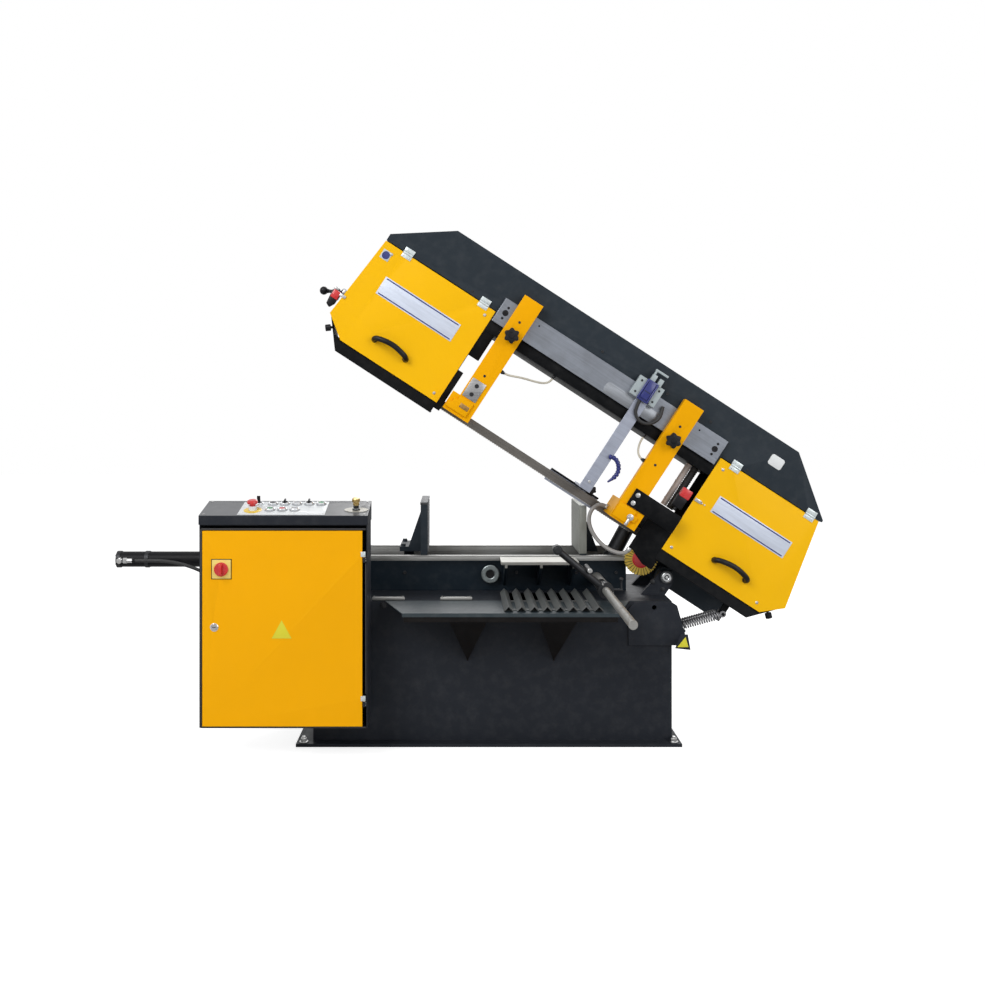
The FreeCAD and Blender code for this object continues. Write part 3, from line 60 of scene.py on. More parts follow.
# ---------------------------------------------------------------- places
# Pieces are made in millimetres, on the base, on the bow or on the sloped console, and then put in place.
RECORD = frame["record"]["behaviour"]
BODY_OF = {node: body for body, nodes in RECORD["bodies"].items() for node in nodes}
LIFT = next(joint for joint in RECORD["joints"] if joint["name"] == "bow_lift")
BOW_ANGLE = math.radians(33.0)
MM = Matrix.Scale(0.001, 4)
ON_BASE = MM
ON_BOW = Matrix.Translation(LIFT["pos_m"]) @ Matrix.Rotation(BOW_ANGLE, 4, "Y") @ MM
LID_TILT = math.atan2(37.0, 168.0)
ON_CONSOLE = Matrix.Translation((0.0, -0.430, 0.891)) @ Matrix.Rotation(LID_TILT, 4, "X") @ MM


# ---------------------------------------------------------------- settings
def colour(name, text, value):
    return bpy.props.FloatVectorProperty(name=name, description=text, default=value, subtype="COLOR", size=3,
                                         min=0.0, max=1.0)


def length(name, text, value):
    return bpy.props.FloatProperty(name=name, description=text, default=value, min=0.0, unit="LENGTH")


class SawColours(bpy.types.PropertyGroup):
    cover: colour("Covers", "Yellow paint of the wheel covers", (0.955, 0.520, 0.002))
    arm: colour("Arms", "Yellow paint of the blade guide arms", (0.900, 0.415, 0.002))
    door: colour("Door", "Yellow paint of the cabinet's door", (0.95, 0.44, 0.001))
    bow: colour("Bow", "Slate paint of the beam", (0.024, 0.032, 0.041))
    base: colour("Base", "Dark paint of the base and the cabinet", (0.021, 0.024, 0.031))
    tray: colour("Tray", "Grey-green paint of the chip tray and the grate", (0.032, 0.045, 0.053))
    steel: colour("Steel", "Machined steel", (0.33, 0.33, 0.335))
    blade: colour("Blade", "Rolled blade steel", (0.15, 0.14, 0.13))
    cap: colour("Cap", "Bright turned steel", (0.56, 0.57, 0.58))
    panel: colour("Panel", "Pale control panel", (0.70, 0.73, 0.75))
    brass: colour("Brass", "Brass of the flow knob", (0.52, 0.38, 0.16))
    blue: colour("Blue", "Blue plastic of the hose and the clamp", (0.016, 0.024, 0.17))
    red: colour("Red", "Red plastic", (0.62, 0.018, 0.020))
    green: colour("Green", "Green plastic", (0.012, 0.26, 0.085))
    black: colour("Black", "Black plastic and rubber", (0.006, 0.006, 0.008))
    cream: colour("Cream", "Thin coolant hoses", (0.60, 0.56, 0.46))
    guard: colour("Guard", "Black of the wheel housings and the guards", (0.0045, 0.005, 0.006))
    floor: colour("Floor", "Studio floor and backdrop", (0.62, 0.62, 0.62))


class SawSizes(bpy.types.PropertyGroup):
    edge: length("Edge", "Rounding of painted sheet-metal edges", 0.0022)
    machined_edge: length("Machined edge", "Chamfer of machined edges", 0.0009)
    tooth_pitch: length("Tooth pitch", "Distance from one blade tooth to the next", 0.010)
    tooth_depth: length("Tooth depth", "Height of a blade tooth", 0.0048)
    spring_wire: length("Spring wire", "Thickness of the return springs' wire", 0.0064)
    plate: length("Plate", "Thickness of the bare plates on the covers", 0.0015)
    bristle: length("Bristle", "Length of the chip brush's bristles past its disc", 0.004)
    fin: length("Fin", "Height of the motor's cooling fins", 0.006)


def colours():
    return bpy.context.scene.saw_colours


def sizes():
    return bpy.context.scene.saw_sizes


# ---------------------------------------------------------------- shader groups
def feed(tree, value, socket):
    """Give a socket its value: another socket's, a plain colour or a number."""
    if isinstance(value, bpy.types.NodeSocket):
        tree.links.new(value, socket)
    else:
        socket.default_value = (*value, 1.0) if socket.type == "RGBA" else value


def new_group(name, inputs):
    """A shader node group from named inputs to colour, roughness and height."""
    group = bpy.data.node_groups.new(name, "ShaderNodeTree")
    for label, kind, value in inputs:
        socket = group.interface.new_socket(name=label, in_out="INPUT", socket_type="NodeSocket" + kind)
        socket.default_value = value
    for label, kind in (("Colour", "Color"), ("Roughness", "Float"), ("Height", "Float")):
        group.interface.new_socket(name=label, in_out="OUTPUT", socket_type="NodeSocket" + kind)
    return group, group.nodes.new("NodeGroupInput").outputs, group.nodes.new("NodeGroupOutput").inputs


def add_node(tree, kind, **values):
    """A node with its settings; a name that matches one of its inputs sets that input."""
    node = tree.nodes.new("ShaderNode" + kind)
    for key, value in values.items():
        label = key.replace("_", " ")
        socket = next((s for s in node.inputs if s.name.lower() == label.lower()), None)
        if socket is not None:
            socket.default_value = value
        else:
            setattr(node, key, value)
    return node


def maths(tree, operation, first, second):
    """The result of a maths node on two sockets or numbers."""
    node = add_node(tree, "Math", operation=operation)
    feed(tree, first, node.inputs[0])
    feed(tree, second, node.inputs[1])
    return node.outputs[0]


def noise(tree, place, scale, detail, roughness):
    """Cloudy noise over a place, its scale a socket or a number."""
    node = add_node(tree, "TexNoise", Detail=detail, Roughness=roughness)
    tree.links.new(place, node.inputs["Vector"])
    feed(tree, scale, node.inputs["Scale"])
    return node.outputs["Fac"]


def remap(tree, source, low, high, to_low, to_high):
    node = add_node(tree, "MapRange", clamp=True)
    for index, value in enumerate((low, high, to_low, to_high)):
        node.inputs[index + 1].default_value = value
    tree.links.new(source, node.inputs[0])
    return node.outputs[0]


def tint(tree, factor, first, second, blend="MIX"):
    """Mix two colours, each a socket or a plain colour."""
    node = tree.nodes.new("ShaderNodeMix")
    node.data_type = "RGBA"
    node.blend_type = blend
    for index, value in ((0, factor), (6, first), (7, second)):
        feed(tree, value, node.inputs[index])
    return node.outputs[2]


def sprayed_paint_group():
    """Sprayed enamel: a fine skin, slow shade changes and a little settled dust."""
    group, entry, leave = new_group(
        "Sprayed paint",
        [("Colour", "Color", (0.5, 0.5, 0.5, 1.0)), ("Skin", "Float", 160.0), ("Shade", "Float", 0.10),
         ("Gloss", "Float", 0.32), ("Dust", "Float", 0.15)])
    place = add_node(group, "TexCoord").outputs["Object"]
    slow = noise(group, place, 3.0, 3.0, 0.55)
    speck = noise(group, place, 24.0, 3.0, 0.6)
    deep = tint(group, 1.0, entry["Colour"], (0.72, 0.70, 0.68), "MULTIPLY")
    amount = maths(group, "MULTIPLY", remap(group, slow, 0.35, 0.68, 0.0, 1.0), entry["Shade"])
    shaded = tint(group, amount, entry["Colour"], deep)
    dust = maths(group, "MULTIPLY", remap(group, speck, 0.45, 0.80, 0.0, 1.0), entry["Dust"])
    pale = tint(group, 0.06, entry["Colour"], (0.55, 0.54, 0.52))
    rough = maths(group, "ADD", remap(group, speck, 0.3, 0.75, -0.05, 0.09), entry["Gloss"])
    feed(group, tint(group, dust, shaded, pale), leave["Colour"])
    feed(group, rough, leave["Roughness"])
    feed(group, noise(group, place, entry["Skin"], 2.0, 0.5), leave["Height"])
    return group


def machined_group():
    """Milled or ground metal: fine scratches along one way, cloudy stains and some darkening."""
    group, entry, leave = new_group(
        "Machined metal",
        [("Colour", "Color", (0.5, 0.5, 0.5, 1.0)), ("Along", "Vector", (4.0, 240.0, 240.0)),
         ("Turn", "Vector", (0.0, 0.0, 0.0)), ("Stain", "Float", 0.3), ("Polish", "Float", 0.28)])
    place = add_node(group, "TexCoord").outputs["Object"]
    turn = add_node(group, "Mapping")
    feed(group, place, turn.inputs["Vector"])
    feed(group, entry["Turn"], turn.inputs["Rotation"])
    stretch = add_node(group, "VectorMath", operation="MULTIPLY")
    feed(group, turn.outputs[0], stretch.inputs[0])
    feed(group, entry["Along"], stretch.inputs[1])
    lines = noise(group, stretch.outputs[0], 1.0, 4.0, 0.65)
    cloud = noise(group, place, 9.0, 5.0, 0.62)
    dark = tint(group, 1.0, entry["Colour"], (0.50, 0.47, 0.43), "MULTIPLY")
    amount = maths(group, "MULTIPLY", remap(group, cloud, 0.42, 0.70, 0.0, 1.0), entry["Stain"])
    stained = tint(group, amount, entry["Colour"], dark)
    lit = tint(group, 1.0, stained, (0.62, 0.62, 0.62), "DIVIDE")
    rough = maths(group, "ADD", remap(group, lines, 0.3, 0.75, -0.06, 0.14), entry["Polish"])
    feed(group, tint(group, remap(group, lines, 0.35, 0.7, 0.0, 0.35), stained, lit), leave["Colour"])
    feed(group, rough, leave["Roughness"])
    feed(group, lines, leave["Height"])
    return group


def moulded_group():
    """Moulded plastic or rubber: an even fine grain and faint smears."""
    group, entry, leave = new_group(
        "Moulded plastic",
        [("Colour", "Color", (0.5, 0.5, 0.5, 1.0)), ("Grain", "Float", 420.0), ("Matt", "Float", 0.45)])
    place = add_node(group, "TexCoord").outputs["Object"]
    smear = noise(group, place, 28.0, 3.0, 0.6)
    worn = tint(group, 0.03, entry["Colour"], (0.6, 0.6, 0.6))
    mask = remap(group, smear, 0.45, 0.75, 0.0, 0.8)
    rough = maths(group, "ADD", remap(group, smear, 0.3, 0.7, -0.07, 0.10), entry["Matt"])
    feed(group, tint(group, mask, entry["Colour"], worn), leave["Colour"])
    feed(group, rough, leave["Roughness"])
    feed(group, noise(group, place, entry["Grain"], 2.0, 0.6), leave["Height"])
    return group


GROUPS = {}
FINISHES = {}


def finish(name, effect, bump, reach, metallic=0.0, coat=0.0, shine=0.5, **values):
    """A material that takes colour, roughness and relief from one of the groups."""
    material = bpy.data.materials.new(name)
    material.use_nodes = True
    tree = material.node_tree
    tree.nodes.clear()
    output = tree.nodes.new("ShaderNodeOutputMaterial")
    shader = add_node(tree, "BsdfPrincipled", Metallic=metallic, Coat_Weight=coat, Coat_Roughness=0.12,
                      Specular_IOR_Level=shine)
    group = tree.nodes.new("ShaderNodeGroup")
    group.node_tree = GROUPS[effect]
    for key, value in values.items():
        feed(tree, value, group.inputs[key])
    relief = add_node(tree, "Bump", Strength=bump, Distance=reach)
    for source, target in ((group.outputs["Colour"], shader.inputs["Base Color"]),
                           (group.outputs["Roughness"], shader.inputs["Roughness"]),
                           (group.outputs["Height"], relief.inputs["Height"]),
                           (relief.outputs[0], shader.inputs["Normal"]), (shader.outputs[0], output.inputs[0])):
        tree.links.new(source, target)
    material.diffuse_color = (*values["Colour"], 1.0)
    FINISHES[name] = material


def make_finishes():
    tone = colours()
    GROUPS["paint"] = sprayed_paint_group()
    GROUPS["metal"] = machined_group()
    GROUPS["plastic"] = moulded_group()
    for name, bump, reach, shine, base, shade, gloss, dust, coat in (
            ("cover_yellow", 0.05, 0.0006, 0.14, tone.cover, 0.14, 0.34, 0.02, 0.0),
            ("door_yellow", 0.06, 0.0007, 0.10, tone.door, 0.14, 0.38, 0.02, 0.0),
            ("bow_slate", 0.10, 0.0008, 0.12, tone.bow, 0.22, 0.40, 0.35, 0.0),
            ("base_dark", 0.12, 0.0009, 0.10, tone.base, 0.25, 0.42, 0.35, 0.0),
            # The paler grey finish here is painted light: the lid's top catches the lamps and is drawn paler than the
            # lid's front.
            ("lid_top_painted_light", 0.10, 0.0009, 0.30, (0.135, 0.140, 0.150), 0.2, 0.36, 0.3, 0.0),
            ("guard_black", 0.10, 0.0008, 0.07, tone.guard, 0.3, 0.42, 0.25, 0.0),
            ("arm_yellow", 0.05, 0.0006, 0.04, tone.arm, 0.14, 0.42, 0.02, 0.0),
            ("bed_slate", 0.12, 0.0008, 0.12, (0.010, 0.017, 0.025), 0.25, 0.42, 0.35, 0.0),
            # The near-black finish here is painted shade for the gussets and lip under the chip tray, which lie in the
            # tray's shadow.
            ("gusset_dark", 0.12, 0.0009, 0.08, (0.010, 0.009, 0.009), 0.3, 0.46, 0.2, 0.0),
            ("cylinder_black", 0.08, 0.0008, 0.12, (0.008, 0.008, 0.010), 0.2, 0.40, 0.2, 0.0),
            ("tray_grey", 0.14, 0.0009, 0.3, tone.tray, 0.35, 0.42, 0.6, 0.0),
            ("grate_grey", 0.16, 0.0009, 0.4, (0.105, 0.112, 0.112), 0.5, 0.42, 0.8, 0.0),
            ("pale_enamel", 0.06, 0.0006, 0.5, (0.40, 0.46, 0.48), 0.25, 0.38, 0.10, 0.0),
            ("white_enamel", 0.05, 0.0005, 0.5, (0.50, 0.56, 0.58), 0.10, 0.34, 0.15, 0.1)):
        finish(name, "paint", bump, reach, shine=shine, coat=coat, Colour=base, Shade=shade, Gloss=gloss, Dust=dust)
    turned_with_bow = ("steel_bow", "steel_feeler", "steel_relief", "blade_band", "plate_silver", "hinge_bright")
    for name, bump, reach, metallic, base, along, stain, polish in (
            ("steel_long", 0.16, 0.0005, 1.0, tone.steel, (6.0, 300.0, 300.0), 0.3, 0.28),
            ("steel_bow", 0.14, 0.0004, 0.85, (0.222, 0.240, 0.275), (5.0, 260.0, 260.0), 0.35, 0.34),
            ("steel_feeler", 0.10, 0.0003, 0.7, (0.33, 0.355, 0.43), (5.0, 5.0, 260.0), 0.2, 0.36),
            ("jaw_pale", 0.12, 0.0004, 0.2, (0.25, 0.26, 0.235), (60.0, 60.0, 6.0), 0.3, 0.42),
            ("steel_dull", 0.12, 0.0004, 0.5, (0.30, 0.30, 0.29), (5.0, 260.0, 260.0), 0.4, 0.40),
            ("steel_relief", 0.10, 0.0003, 0.85, (0.250, 0.265, 0.290), (5.0, 260.0, 260.0), 0.2, 0.42),
            ("bush_steel", 0.12, 0.0004, 0.7, (0.24, 0.27, 0.275), (60.0, 400.0, 60.0), 0.3, 0.34),
            ("spring_grey", 0.06, 0.0002, 0.7, (0.25, 0.25, 0.26), (60.0, 60.0, 60.0), 0.3, 0.34),
            ("steel_table", 0.14, 0.0004, 0.85, (0.36, 0.355, 0.33), (5.0, 260.0, 260.0), 0.35, 0.34),
            ("steel_turned", 0.12, 0.0004, 1.0, tone.cap, (60.0, 400.0, 60.0), 0.2, 0.22),
            ("chromed", 0.05, 0.0002, 1.0, (0.72, 0.73, 0.75), (30.0, 30.0, 30.0), 0.06, 0.10),
            ("blade_band", 0.14, 0.0004, 0.9, tone.blade, (8.0, 200.0, 200.0), 0.35, 0.34),
            ("tooth_edge", 0.10, 0.0003, 1.0, (0.48, 0.47, 0.45), (50.0, 50.0, 50.0), 0.2, 0.24),
            ("cast_iron", 0.30, 0.0009, 0.6, (0.07, 0.073, 0.078), (70.0, 70.0, 70.0), 0.5, 0.48),
            ("bolt_zinc", 0.08, 0.0002, 1.0, (0.50, 0.50, 0.50), (90.0, 90.0, 90.0), 0.25, 0.26),
            ("black_oxide", 0.08, 0.0002, 0.5, (0.022, 0.023, 0.026), (90.0, 90.0, 90.0), 0.2, 0.40),
            ("brass_turned", 0.10, 0.0003, 1.0, tone.brass, (60.0, 60.0, 300.0), 0.4, 0.28),
            ("bronze_pad", 0.12, 0.0004, 0.8, (0.34, 0.20, 0.07), (90.0, 200.0, 90.0), 0.4, 0.35),
            ("brush_dark", 0.20, 0.0005, 0.0, (0.085, 0.055, 0.016), (90.0, 14.0, 90.0), 0.4, 0.55),
            ("brush_wire", 0.40, 0.0010, 0.05, (0.88, 0.64, 0.10), (240.0, 14.0, 240.0), 0.6, 0.45),
            ("panel_pale", 0.05, 0.0002, 0.05, tone.panel, (6.0, 260.0, 60.0), 0.08, 0.30),
            ("plate_silver", 0.05, 0.0001, 0.1, (0.57, 0.62, 0.73), (5.0, 5.0, 60.0), 0.08, 0.36),
            ("hinge_bright", 0.05, 0.0001, 0.35, (0.60, 0.66, 0.67), (90.0, 90.0, 90.0), 0.12, 0.26),
            ("oval_bare", 0.04, 0.0002, 0.2, (0.42, 0.41, 0.37), (6.0, 90.0, 6.0), 0.3, 0.4)):
        turn = (0.0, -BOW_ANGLE, 0.0) if name in turned_with_bow else (0.0, 0.0, 0.0)
        finish(name, "metal", bump, reach, metallic, Colour=base, Along=along, Turn=turn, Stain=stain, Polish=polish)
    for name, bump, reach, shine, coat, base, matt, grain in (
            ("black_moulded", 0.12, 0.0003, 0.22, 0.0, tone.black, 0.34, 420.0),
            ("white_bare", 0.04, 0.0002, 0.3, 0.0, (0.74, 0.76, 0.77), 0.40, 420.0),
            ("sign_yellow", 0.04, 0.0002, 0.2, 0.0, (0.72, 0.66, 0.045), 0.40, 420.0),
            ("switch_plate", 0.04, 0.0002, 0.3, 0.0, (0.86, 0.66, 0.18), 0.35, 420.0),
            ("rubber", 0.25, 0.0005, 0.5, 0.0, (0.016, 0.016, 0.017), 0.58, 260.0),
            ("blue_moulded", 0.08, 0.0002, 0.5, 0.2, tone.blue, 0.32, 420.0),
            ("red_moulded", 0.05, 0.0002, 0.5, 0.4, tone.red, 0.26, 420.0),
            ("green_moulded", 0.05, 0.0002, 0.5, 0.4, tone.green, 0.26, 420.0),
            ("grey_moulded", 0.05, 0.0002, 0.5, 0.3, (0.42, 0.43, 0.45), 0.28, 420.0),
            ("yellow_moulded", 0.05, 0.0002, 0.5, 0.3, (0.80, 0.55, 0.02), 0.30, 420.0),
            ("cream_hose", 0.08, 0.0003, 0.5, 0.0, tone.cream, 0.40, 420.0),
            ("pale_tube", 0.08, 0.0003, 0.5, 0.0, (0.55, 0.49, 0.46), 0.36, 420.0),
            ("grey_hose", 0.10, 0.0004, 0.5, 0.0, (0.30, 0.29, 0.28), 0.42, 420.0)):
        finish(name, "plastic", bump, reach, shine=shine, coat=coat, Colour=base, Matt=matt, Grain=grain)


# ---------------------------------------------------------------- shaping
# block, rod and the others add to one shape; piece() puts it in place, and the next call starts another.
WORK = []
UP, DOWN, FRONT, BACK, RIGHT, LEFT = (0, 0, 1), (0, 0, -1), (0, -1, 0), (0, 1, 0), (1, 0, 0), (-1, 0, 0)


def work():
    """The shape that is being made."""
    if not WORK:
        WORK.append(bmesh.new())
    return WORK[0]


def vertices(items):
    return [item for item in items if isinstance(item, bmesh.types.BMVert)]


def all_edges(items):
    return list({edge for item in items for edge in getattr(item, "link_edges", None) or item.edges})


def rims_of(items):
    """The edges beside a face of many corners."""
    return [edge for edge in all_edges(items) if any(len(face.verts) > 4 for face in edge.link_faces)]


def round_edges(edges, offset, segments=2, clamp=False):
    bmesh.ops.bevel(work(), geom=edges, offset=offset, offset_type="OFFSET", segments=segments, profile=0.5,
                    affect="EDGES", clamp_overlap=clamp, material=-1)


def block(x0, x1, y0, y1, z0, z1, edge=1.0):
    """A block between six limits with rounded edges."""
    bm = work()
    made = bmesh.ops.create_cube(bm, size=1.0)["verts"]
    bmesh.ops.scale(bm, vec=(x1 - x0, y1 - y0, z1 - z0), verts=made)
    bmesh.ops.translate(bm, vec=((x0 + x1) / 2, (y0 + y1) / 2, (z0 + z1) / 2), verts=made)
    if edge:
        round_edges(all_edges(made), edge)


def rod(start, end, r, r_end=None, sides=32, edge=0.0):
    """A round or many-sided bar between two points, its rims rounded by edge."""
    start, end = Vector(start), Vector(end)
    line = end - start
    turn = line.to_track_quat("Z", "Y").to_matrix().to_4x4()
    place = Matrix.Translation((start + end) / 2) @ turn
    made = bmesh.ops.create_cone(work(), cap_ends=True, segments=sides, radius1=r,
                                 radius2=r if r_end is None else r_end, depth=line.length, matrix=place)["verts"]
    if edge:
        round_edges(all_edges(made) if sides <= 4 else rims_of(made), edge)


def plate(outline, start, end, edge=0.0):
    """A flat piece from a closed outline in x and z, extruded along y from start to end."""
    bm = work()
    corners = [bm.verts.new((x, start, z)) for x, z in outline]
    face = bm.faces.new(corners)
    made = bmesh.ops.extrude_face_region(bm, geom=[face])["geom"]
    bmesh.ops.translate(bm, vec=(0, end - start, 0), verts=vertices(made))
    solid = list({f for v in corners for f in v.link_faces} | {g for g in made if isinstance(g, bmesh.types.BMFace)})
    bmesh.ops.recalc_face_normals(bm, faces=solid)
    if edge:
        round_edges(all_edges(solid), edge)


def turned(centre, axis, profile, steps=40):
    """A turned piece: a closed profile of (radius, height along the axis) spun about the axis."""
    bm = work()
    axis = Vector(axis).normalized()
    side = axis.orthogonal().normalized()
    centre = Vector(centre)
    ring = [bm.verts.new(centre + axis * h + side * r) for r, h in profile]
    edges = [bm.edges.new((ring[i], ring[(i + 1) % len(ring)])) for i in range(len(ring))]
    before = set(bm.faces)
    bmesh.ops.spin(bm, geom=ring + edges, cent=centre, axis=axis, angle=math.tau, steps=steps, use_merge=True)
    bmesh.ops.remove_doubles(bm, verts=[v for v in bm.verts if any(f not in before for f in v.link_faces)], dist=1e-4)
    bmesh.ops.recalc_face_normals(bm, faces=[f for f in bm.faces if f not in before])


def bolt(at, way, r, head=None, washer=True, socket=False):
    """A screw head on a face: way points out of the face."""
    at, way = Vector(at), Vector(way).normalized()
    head = head or r * 1.1
    base = at
    if washer:
        rod(at, at + way * r * 0.28, r * 1.45, sides=28, edge=r * 0.08)
        base = at + way * r * 0.26
    if socket:
        turned(base, way, [(0, 0), (r, 0), (r, head * 0.85), (r * 0.88, head), (r * 0.5, head),
                           (r * 0.45, head * 0.3), (0, head * 0.3)], steps=24)
    else:
        rod(base, base + way * head, r, sides=6, edge=r * 0.10)


def screw(at, way, r, head):
    """A hexagon head without a washer."""
    bolt(at, way, r, head, washer=False)


def cap_screw(at, way, r, head):
    """A round head with a socket, without a washer."""
    bolt(at, way, r, head, washer=False, socket=True)


def lobed(centre, r, depth, out, lobes=6, wave=0.13):
    """A star grip: a ring of lobes pushed out along -y."""
    bm = work()
    made = bmesh.ops.create_circle(bm, cap_ends=True, segments=lobes * 10, radius=r,
                                   matrix=Matrix.Translation(centre) @ Matrix.Rotation(math.pi / 2, 4, "X"))["verts"]
    middle = Vector(centre)
    for v in made:
        arm = v.co - middle
        v.co = middle + arm * (1.0 + wave * math.cos(lobes * math.atan2(arm.z, arm.x)))
    grown = bmesh.ops.extrude_face_region(bm, geom=[made[0].link_faces[0]])["geom"]
    top = vertices(grown)
    bmesh.ops.translate(bm, vec=(0, -depth, 0), verts=top)
    faces = list({f for v in made + top for f in v.link_faces})
    bmesh.ops.recalc_face_normals(bm, faces=faces)
    round_edges(rims_of(faces), out, segments=3)


def shade(mesh, angle=24.0):
    mesh.polygons.foreach_set("use_smooth", [True] * len(mesh.polygons))
    mesh.set_sharp_from_angle(angle=math.radians(angle))
    mesh.update()


def add_object(name, data):
    obj = bpy.data.objects.new(name, data)
    bpy.context.scene.collection.objects.link(obj)
    return obj


def attach(obj, body, stands_for):
    """Let a piece ride on a body; a piece without one is left in place without a parent."""
    if body:
        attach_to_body(obj, body)
    if stands_for:
        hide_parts(*stands_for)
    return obj


def piece(name, place, material, body, slot, stands_for=(), angle=24.0):
    """Put the finished shape in place, paint it, and let it ride on a body."""
    bm = WORK.pop()
    bmesh.ops.transform(bm, matrix=place, verts=bm.verts)
    mesh = bpy.data.meshes.new(name)
    bm.to_mesh(mesh)
    bm.free()
    mesh.materials.append(FINISHES[material])
    shade(mesh, angle)
    return attach(add_object(name, mesh), body, stands_for)


def on_base(name, *rest, **more):
    return piece(name, ON_BASE, *rest, **more)


def on_bow(name, *rest, **more):
    return piece(name, ON_BOW, *rest, **more)


def on_console(name, *rest, **more):
    return piece(name, ON_CONSOLE, *rest, **more)


def disc(centre, axis, r, height, steps=40):
    """A plain round disc that stands on its centre."""
    turned(centre, axis, [(0, 0), (r, 0), (r, height), (0, height)], steps=steps)


def softened(node, material, edge, angle=30.0):
    """A copy of a solid with merged faces and rounded edges, which stands for it."""
    bm = work()
    bm.from_mesh(frame["nodes"][node].data)
    bmesh.ops.remove_doubles(bm, verts=bm.verts, dist=2e-5)
    bmesh.ops.dissolve_limit(bm, angle_limit=math.radians(0.6), verts=bm.verts, edges=bm.edges,
                             use_dissolve_boundaries=False)
    if edge:
        sharp = [e for e in bm.edges if len(e.link_faces) == 2 and e.calc_face_angle(0.0) > math.radians(angle)]
        round_edges(sharp, edge, clamp=True)
    slot = next(s["material_slot"] for s in frame["record"]["subparts"] if s["node"] == node)
    piece(node + "_shell", Matrix.Identity(4), material, BODY_OF[node], slot, (node,))


def hose(name, points, r, material, body, place, stands_for=()):
    """A smooth round hose along a route of control points."""
    curve = bpy.data.curves.new(name, "CURVE")
    curve.dimensions = "3D"
    curve.bevel_depth = r * 0.001
    curve.bevel_resolution = 6
    curve.resolution_u = 12
    curve.use_fill_caps = True
    line = curve.splines.new("NURBS")
    line.points.add(len(points) - 1)
    for point, co in zip(line.points, points):
        point.co = (*(place @ Vector(co)), 1.0)
    line.order_u = 3
    line.use_endpoint_u = True
    curve.materials.append(FINISHES[material])
    return attach(add_object(name, curve), body, stands_for)


# ---------------------------------------------------------------- pieces
# Faces and centre lines that several pieces share, in millimetres.
COVER_FRONT, BEAM_FRONT, RAIL_FRONT, ARM_FRONT, DOOR_FRONT = -134, -130, -145, -180, -431
RAIL_ENDS = (-1131.0, -93.0)
WHEEL_Z = 288
BRUSH_X, BRUSH_Z = -109, 4
MOTOR_X = 186
STOP_X, STOP_Z = 440, 589
VALVE_X, VALVE_Y = -488, 62
FIRST_KEY, KEY_PITCH = -802, 44.7
JAW_LOW, SERRATION = 690, 10.6
FLOOR_GLOW, MIRRORED_LIGHT, SURROUND_LIGHT = 0.76, 0.85, 0.42

VISE_HOSE = [(-1450, 134, 643), (-1385, 134, 643), (-1325, 134, 641), (-1262, 134, 631), (-1200, 134, 611),
             (-1135, 134, 580), (-1065, 134, 547), (-985, 133, 520), (-900, 133, 502), (-815, 132, 491),
             (-740, 132, 486), (-678, 132, 486)]
LEFT_HOSE = [(-988, -160, 320), (-962, -160, 320), (-922, -148, 338), (-890, -132, 350), (-857, -116, 360),
             (-826, -104, 372), (-808, -98, 388), (-803, -96, 405), (-803, -96, 423)]
RIGHT_HOSE = [(-339, -160, 332), (-355, -160, 332), (-369, -157, 339), (-379, -150, 352), (-384, -140, 368),
              (-386, -128, 384), (-386, -119, 402), (-386, -119, 423)]
BRUSH_HOSE = [(-339.1, -44, 104), (-358, -44, 104), (-377, -44, 94), (-387, -44, 72), (-386, -44, 44),
              (-372, -46, 16), (-345, -53, -8), (-309, -64, -25), (-270, -80, -32), (-236, -99, -29),
              (-209, -117, -17), (-196, -125, 1), (-196, -125, 19.9)]


class SAW_OT_view(bpy.types.Operator):
    """The camera in front of the saw, level and square to the blade's plane"""
    bl_idname = "saw.view"
    bl_label = "Camera"

    def execute(self, context):
        data = bpy.data.cameras.new("camera")
        data.sensor_fit = "HORIZONTAL"
        data.sensor_width = 36.0
        data.lens = 38.376
        data.shift_x = 0.0371
        data.shift_y = -0.1015
        data.clip_end = 60.0
        camera = add_object("camera", data)
        camera.location = (-0.1243, -4.2, 1.306)
        camera.rotation_euler = (math.pi / 2, 0.0, 0.0)
        context.scene.camera = camera
        return {"FINISHED"}


class SAW_OT_hoses(bpy.types.Operator):
    """Hydraulic, coolant and cable hoses"""
    bl_idname = "saw.hoses"
    bl_label = "Hoses"

    def execute(self, context):
        supply = hose("vise_supply_hose", VISE_HOSE, 7.0, "rubber", "base", ON_BASE, ("vise_hose",))
        hose("left_guide_hose", LEFT_HOSE, 4.0, "cream_hose", "bow", ON_BOW, ("guide_hoses",))
        hose("right_guide_hose", RIGHT_HOSE, 4.0, "cream_hose", "bow", ON_BOW, ("guide_hoses",))
        hose("brush_coolant_hose", BRUSH_HOSE, 8.0, "grey_hose", "bow", ON_BOW, ("bow_lines",))
        rod((-165, -60, 233), (-165, -60, 423), 12)
        for z in (262, 340, 408):
            turned((-165, -60, z), UP, [(11.9, -3), (13.4, -3), (13.4, 3), (11.9, 3)], steps=28)
        on_bow("pale_conduit", "pale_tube", "bow", "hose_rubber", ("bow_lines",))
        rod((-136, -58, 233), (-136, -58, 423), 14)
        for i in range(21):
            turned((-136, -58, 238 + i * 9), UP, [(13.5, -2.8), (15.8, -1.2), (15.8, 1.2), (13.5, 2.8)], steps=24)
        on_bow("ribbed_conduit", "rubber", "bow", "hose_rubber", ("bow_lines",))
        for start, way in (((-988, -160, 320), RIGHT), ((-803, -96, 423), DOWN),
                           ((-339, -160, 332), LEFT), ((-386, -119, 423), DOWN)):
            start, way = Vector(start), Vector(way)
            rod(start, start + way * 9, 7.5, sides=6, edge=0.6)
            rod(start + way * 9, start + way * 15, 5.6, 4.8, sides=24)
        on_bow("guide_hose_nipples", "black_oxide", "bow", "hose_cream")
        rod((-339, -44, 104), (-351, -44, 104), 11, sides=6, edge=0.8)
        rod((-196, -125, 19), (-196, -125, 6), 10.5, 9.4, sides=28, edge=0.6)
        on_bow("brush_hose_clamps", "bolt_zinc", "bow", "hose_rubber")
        return {"FINISHED"}


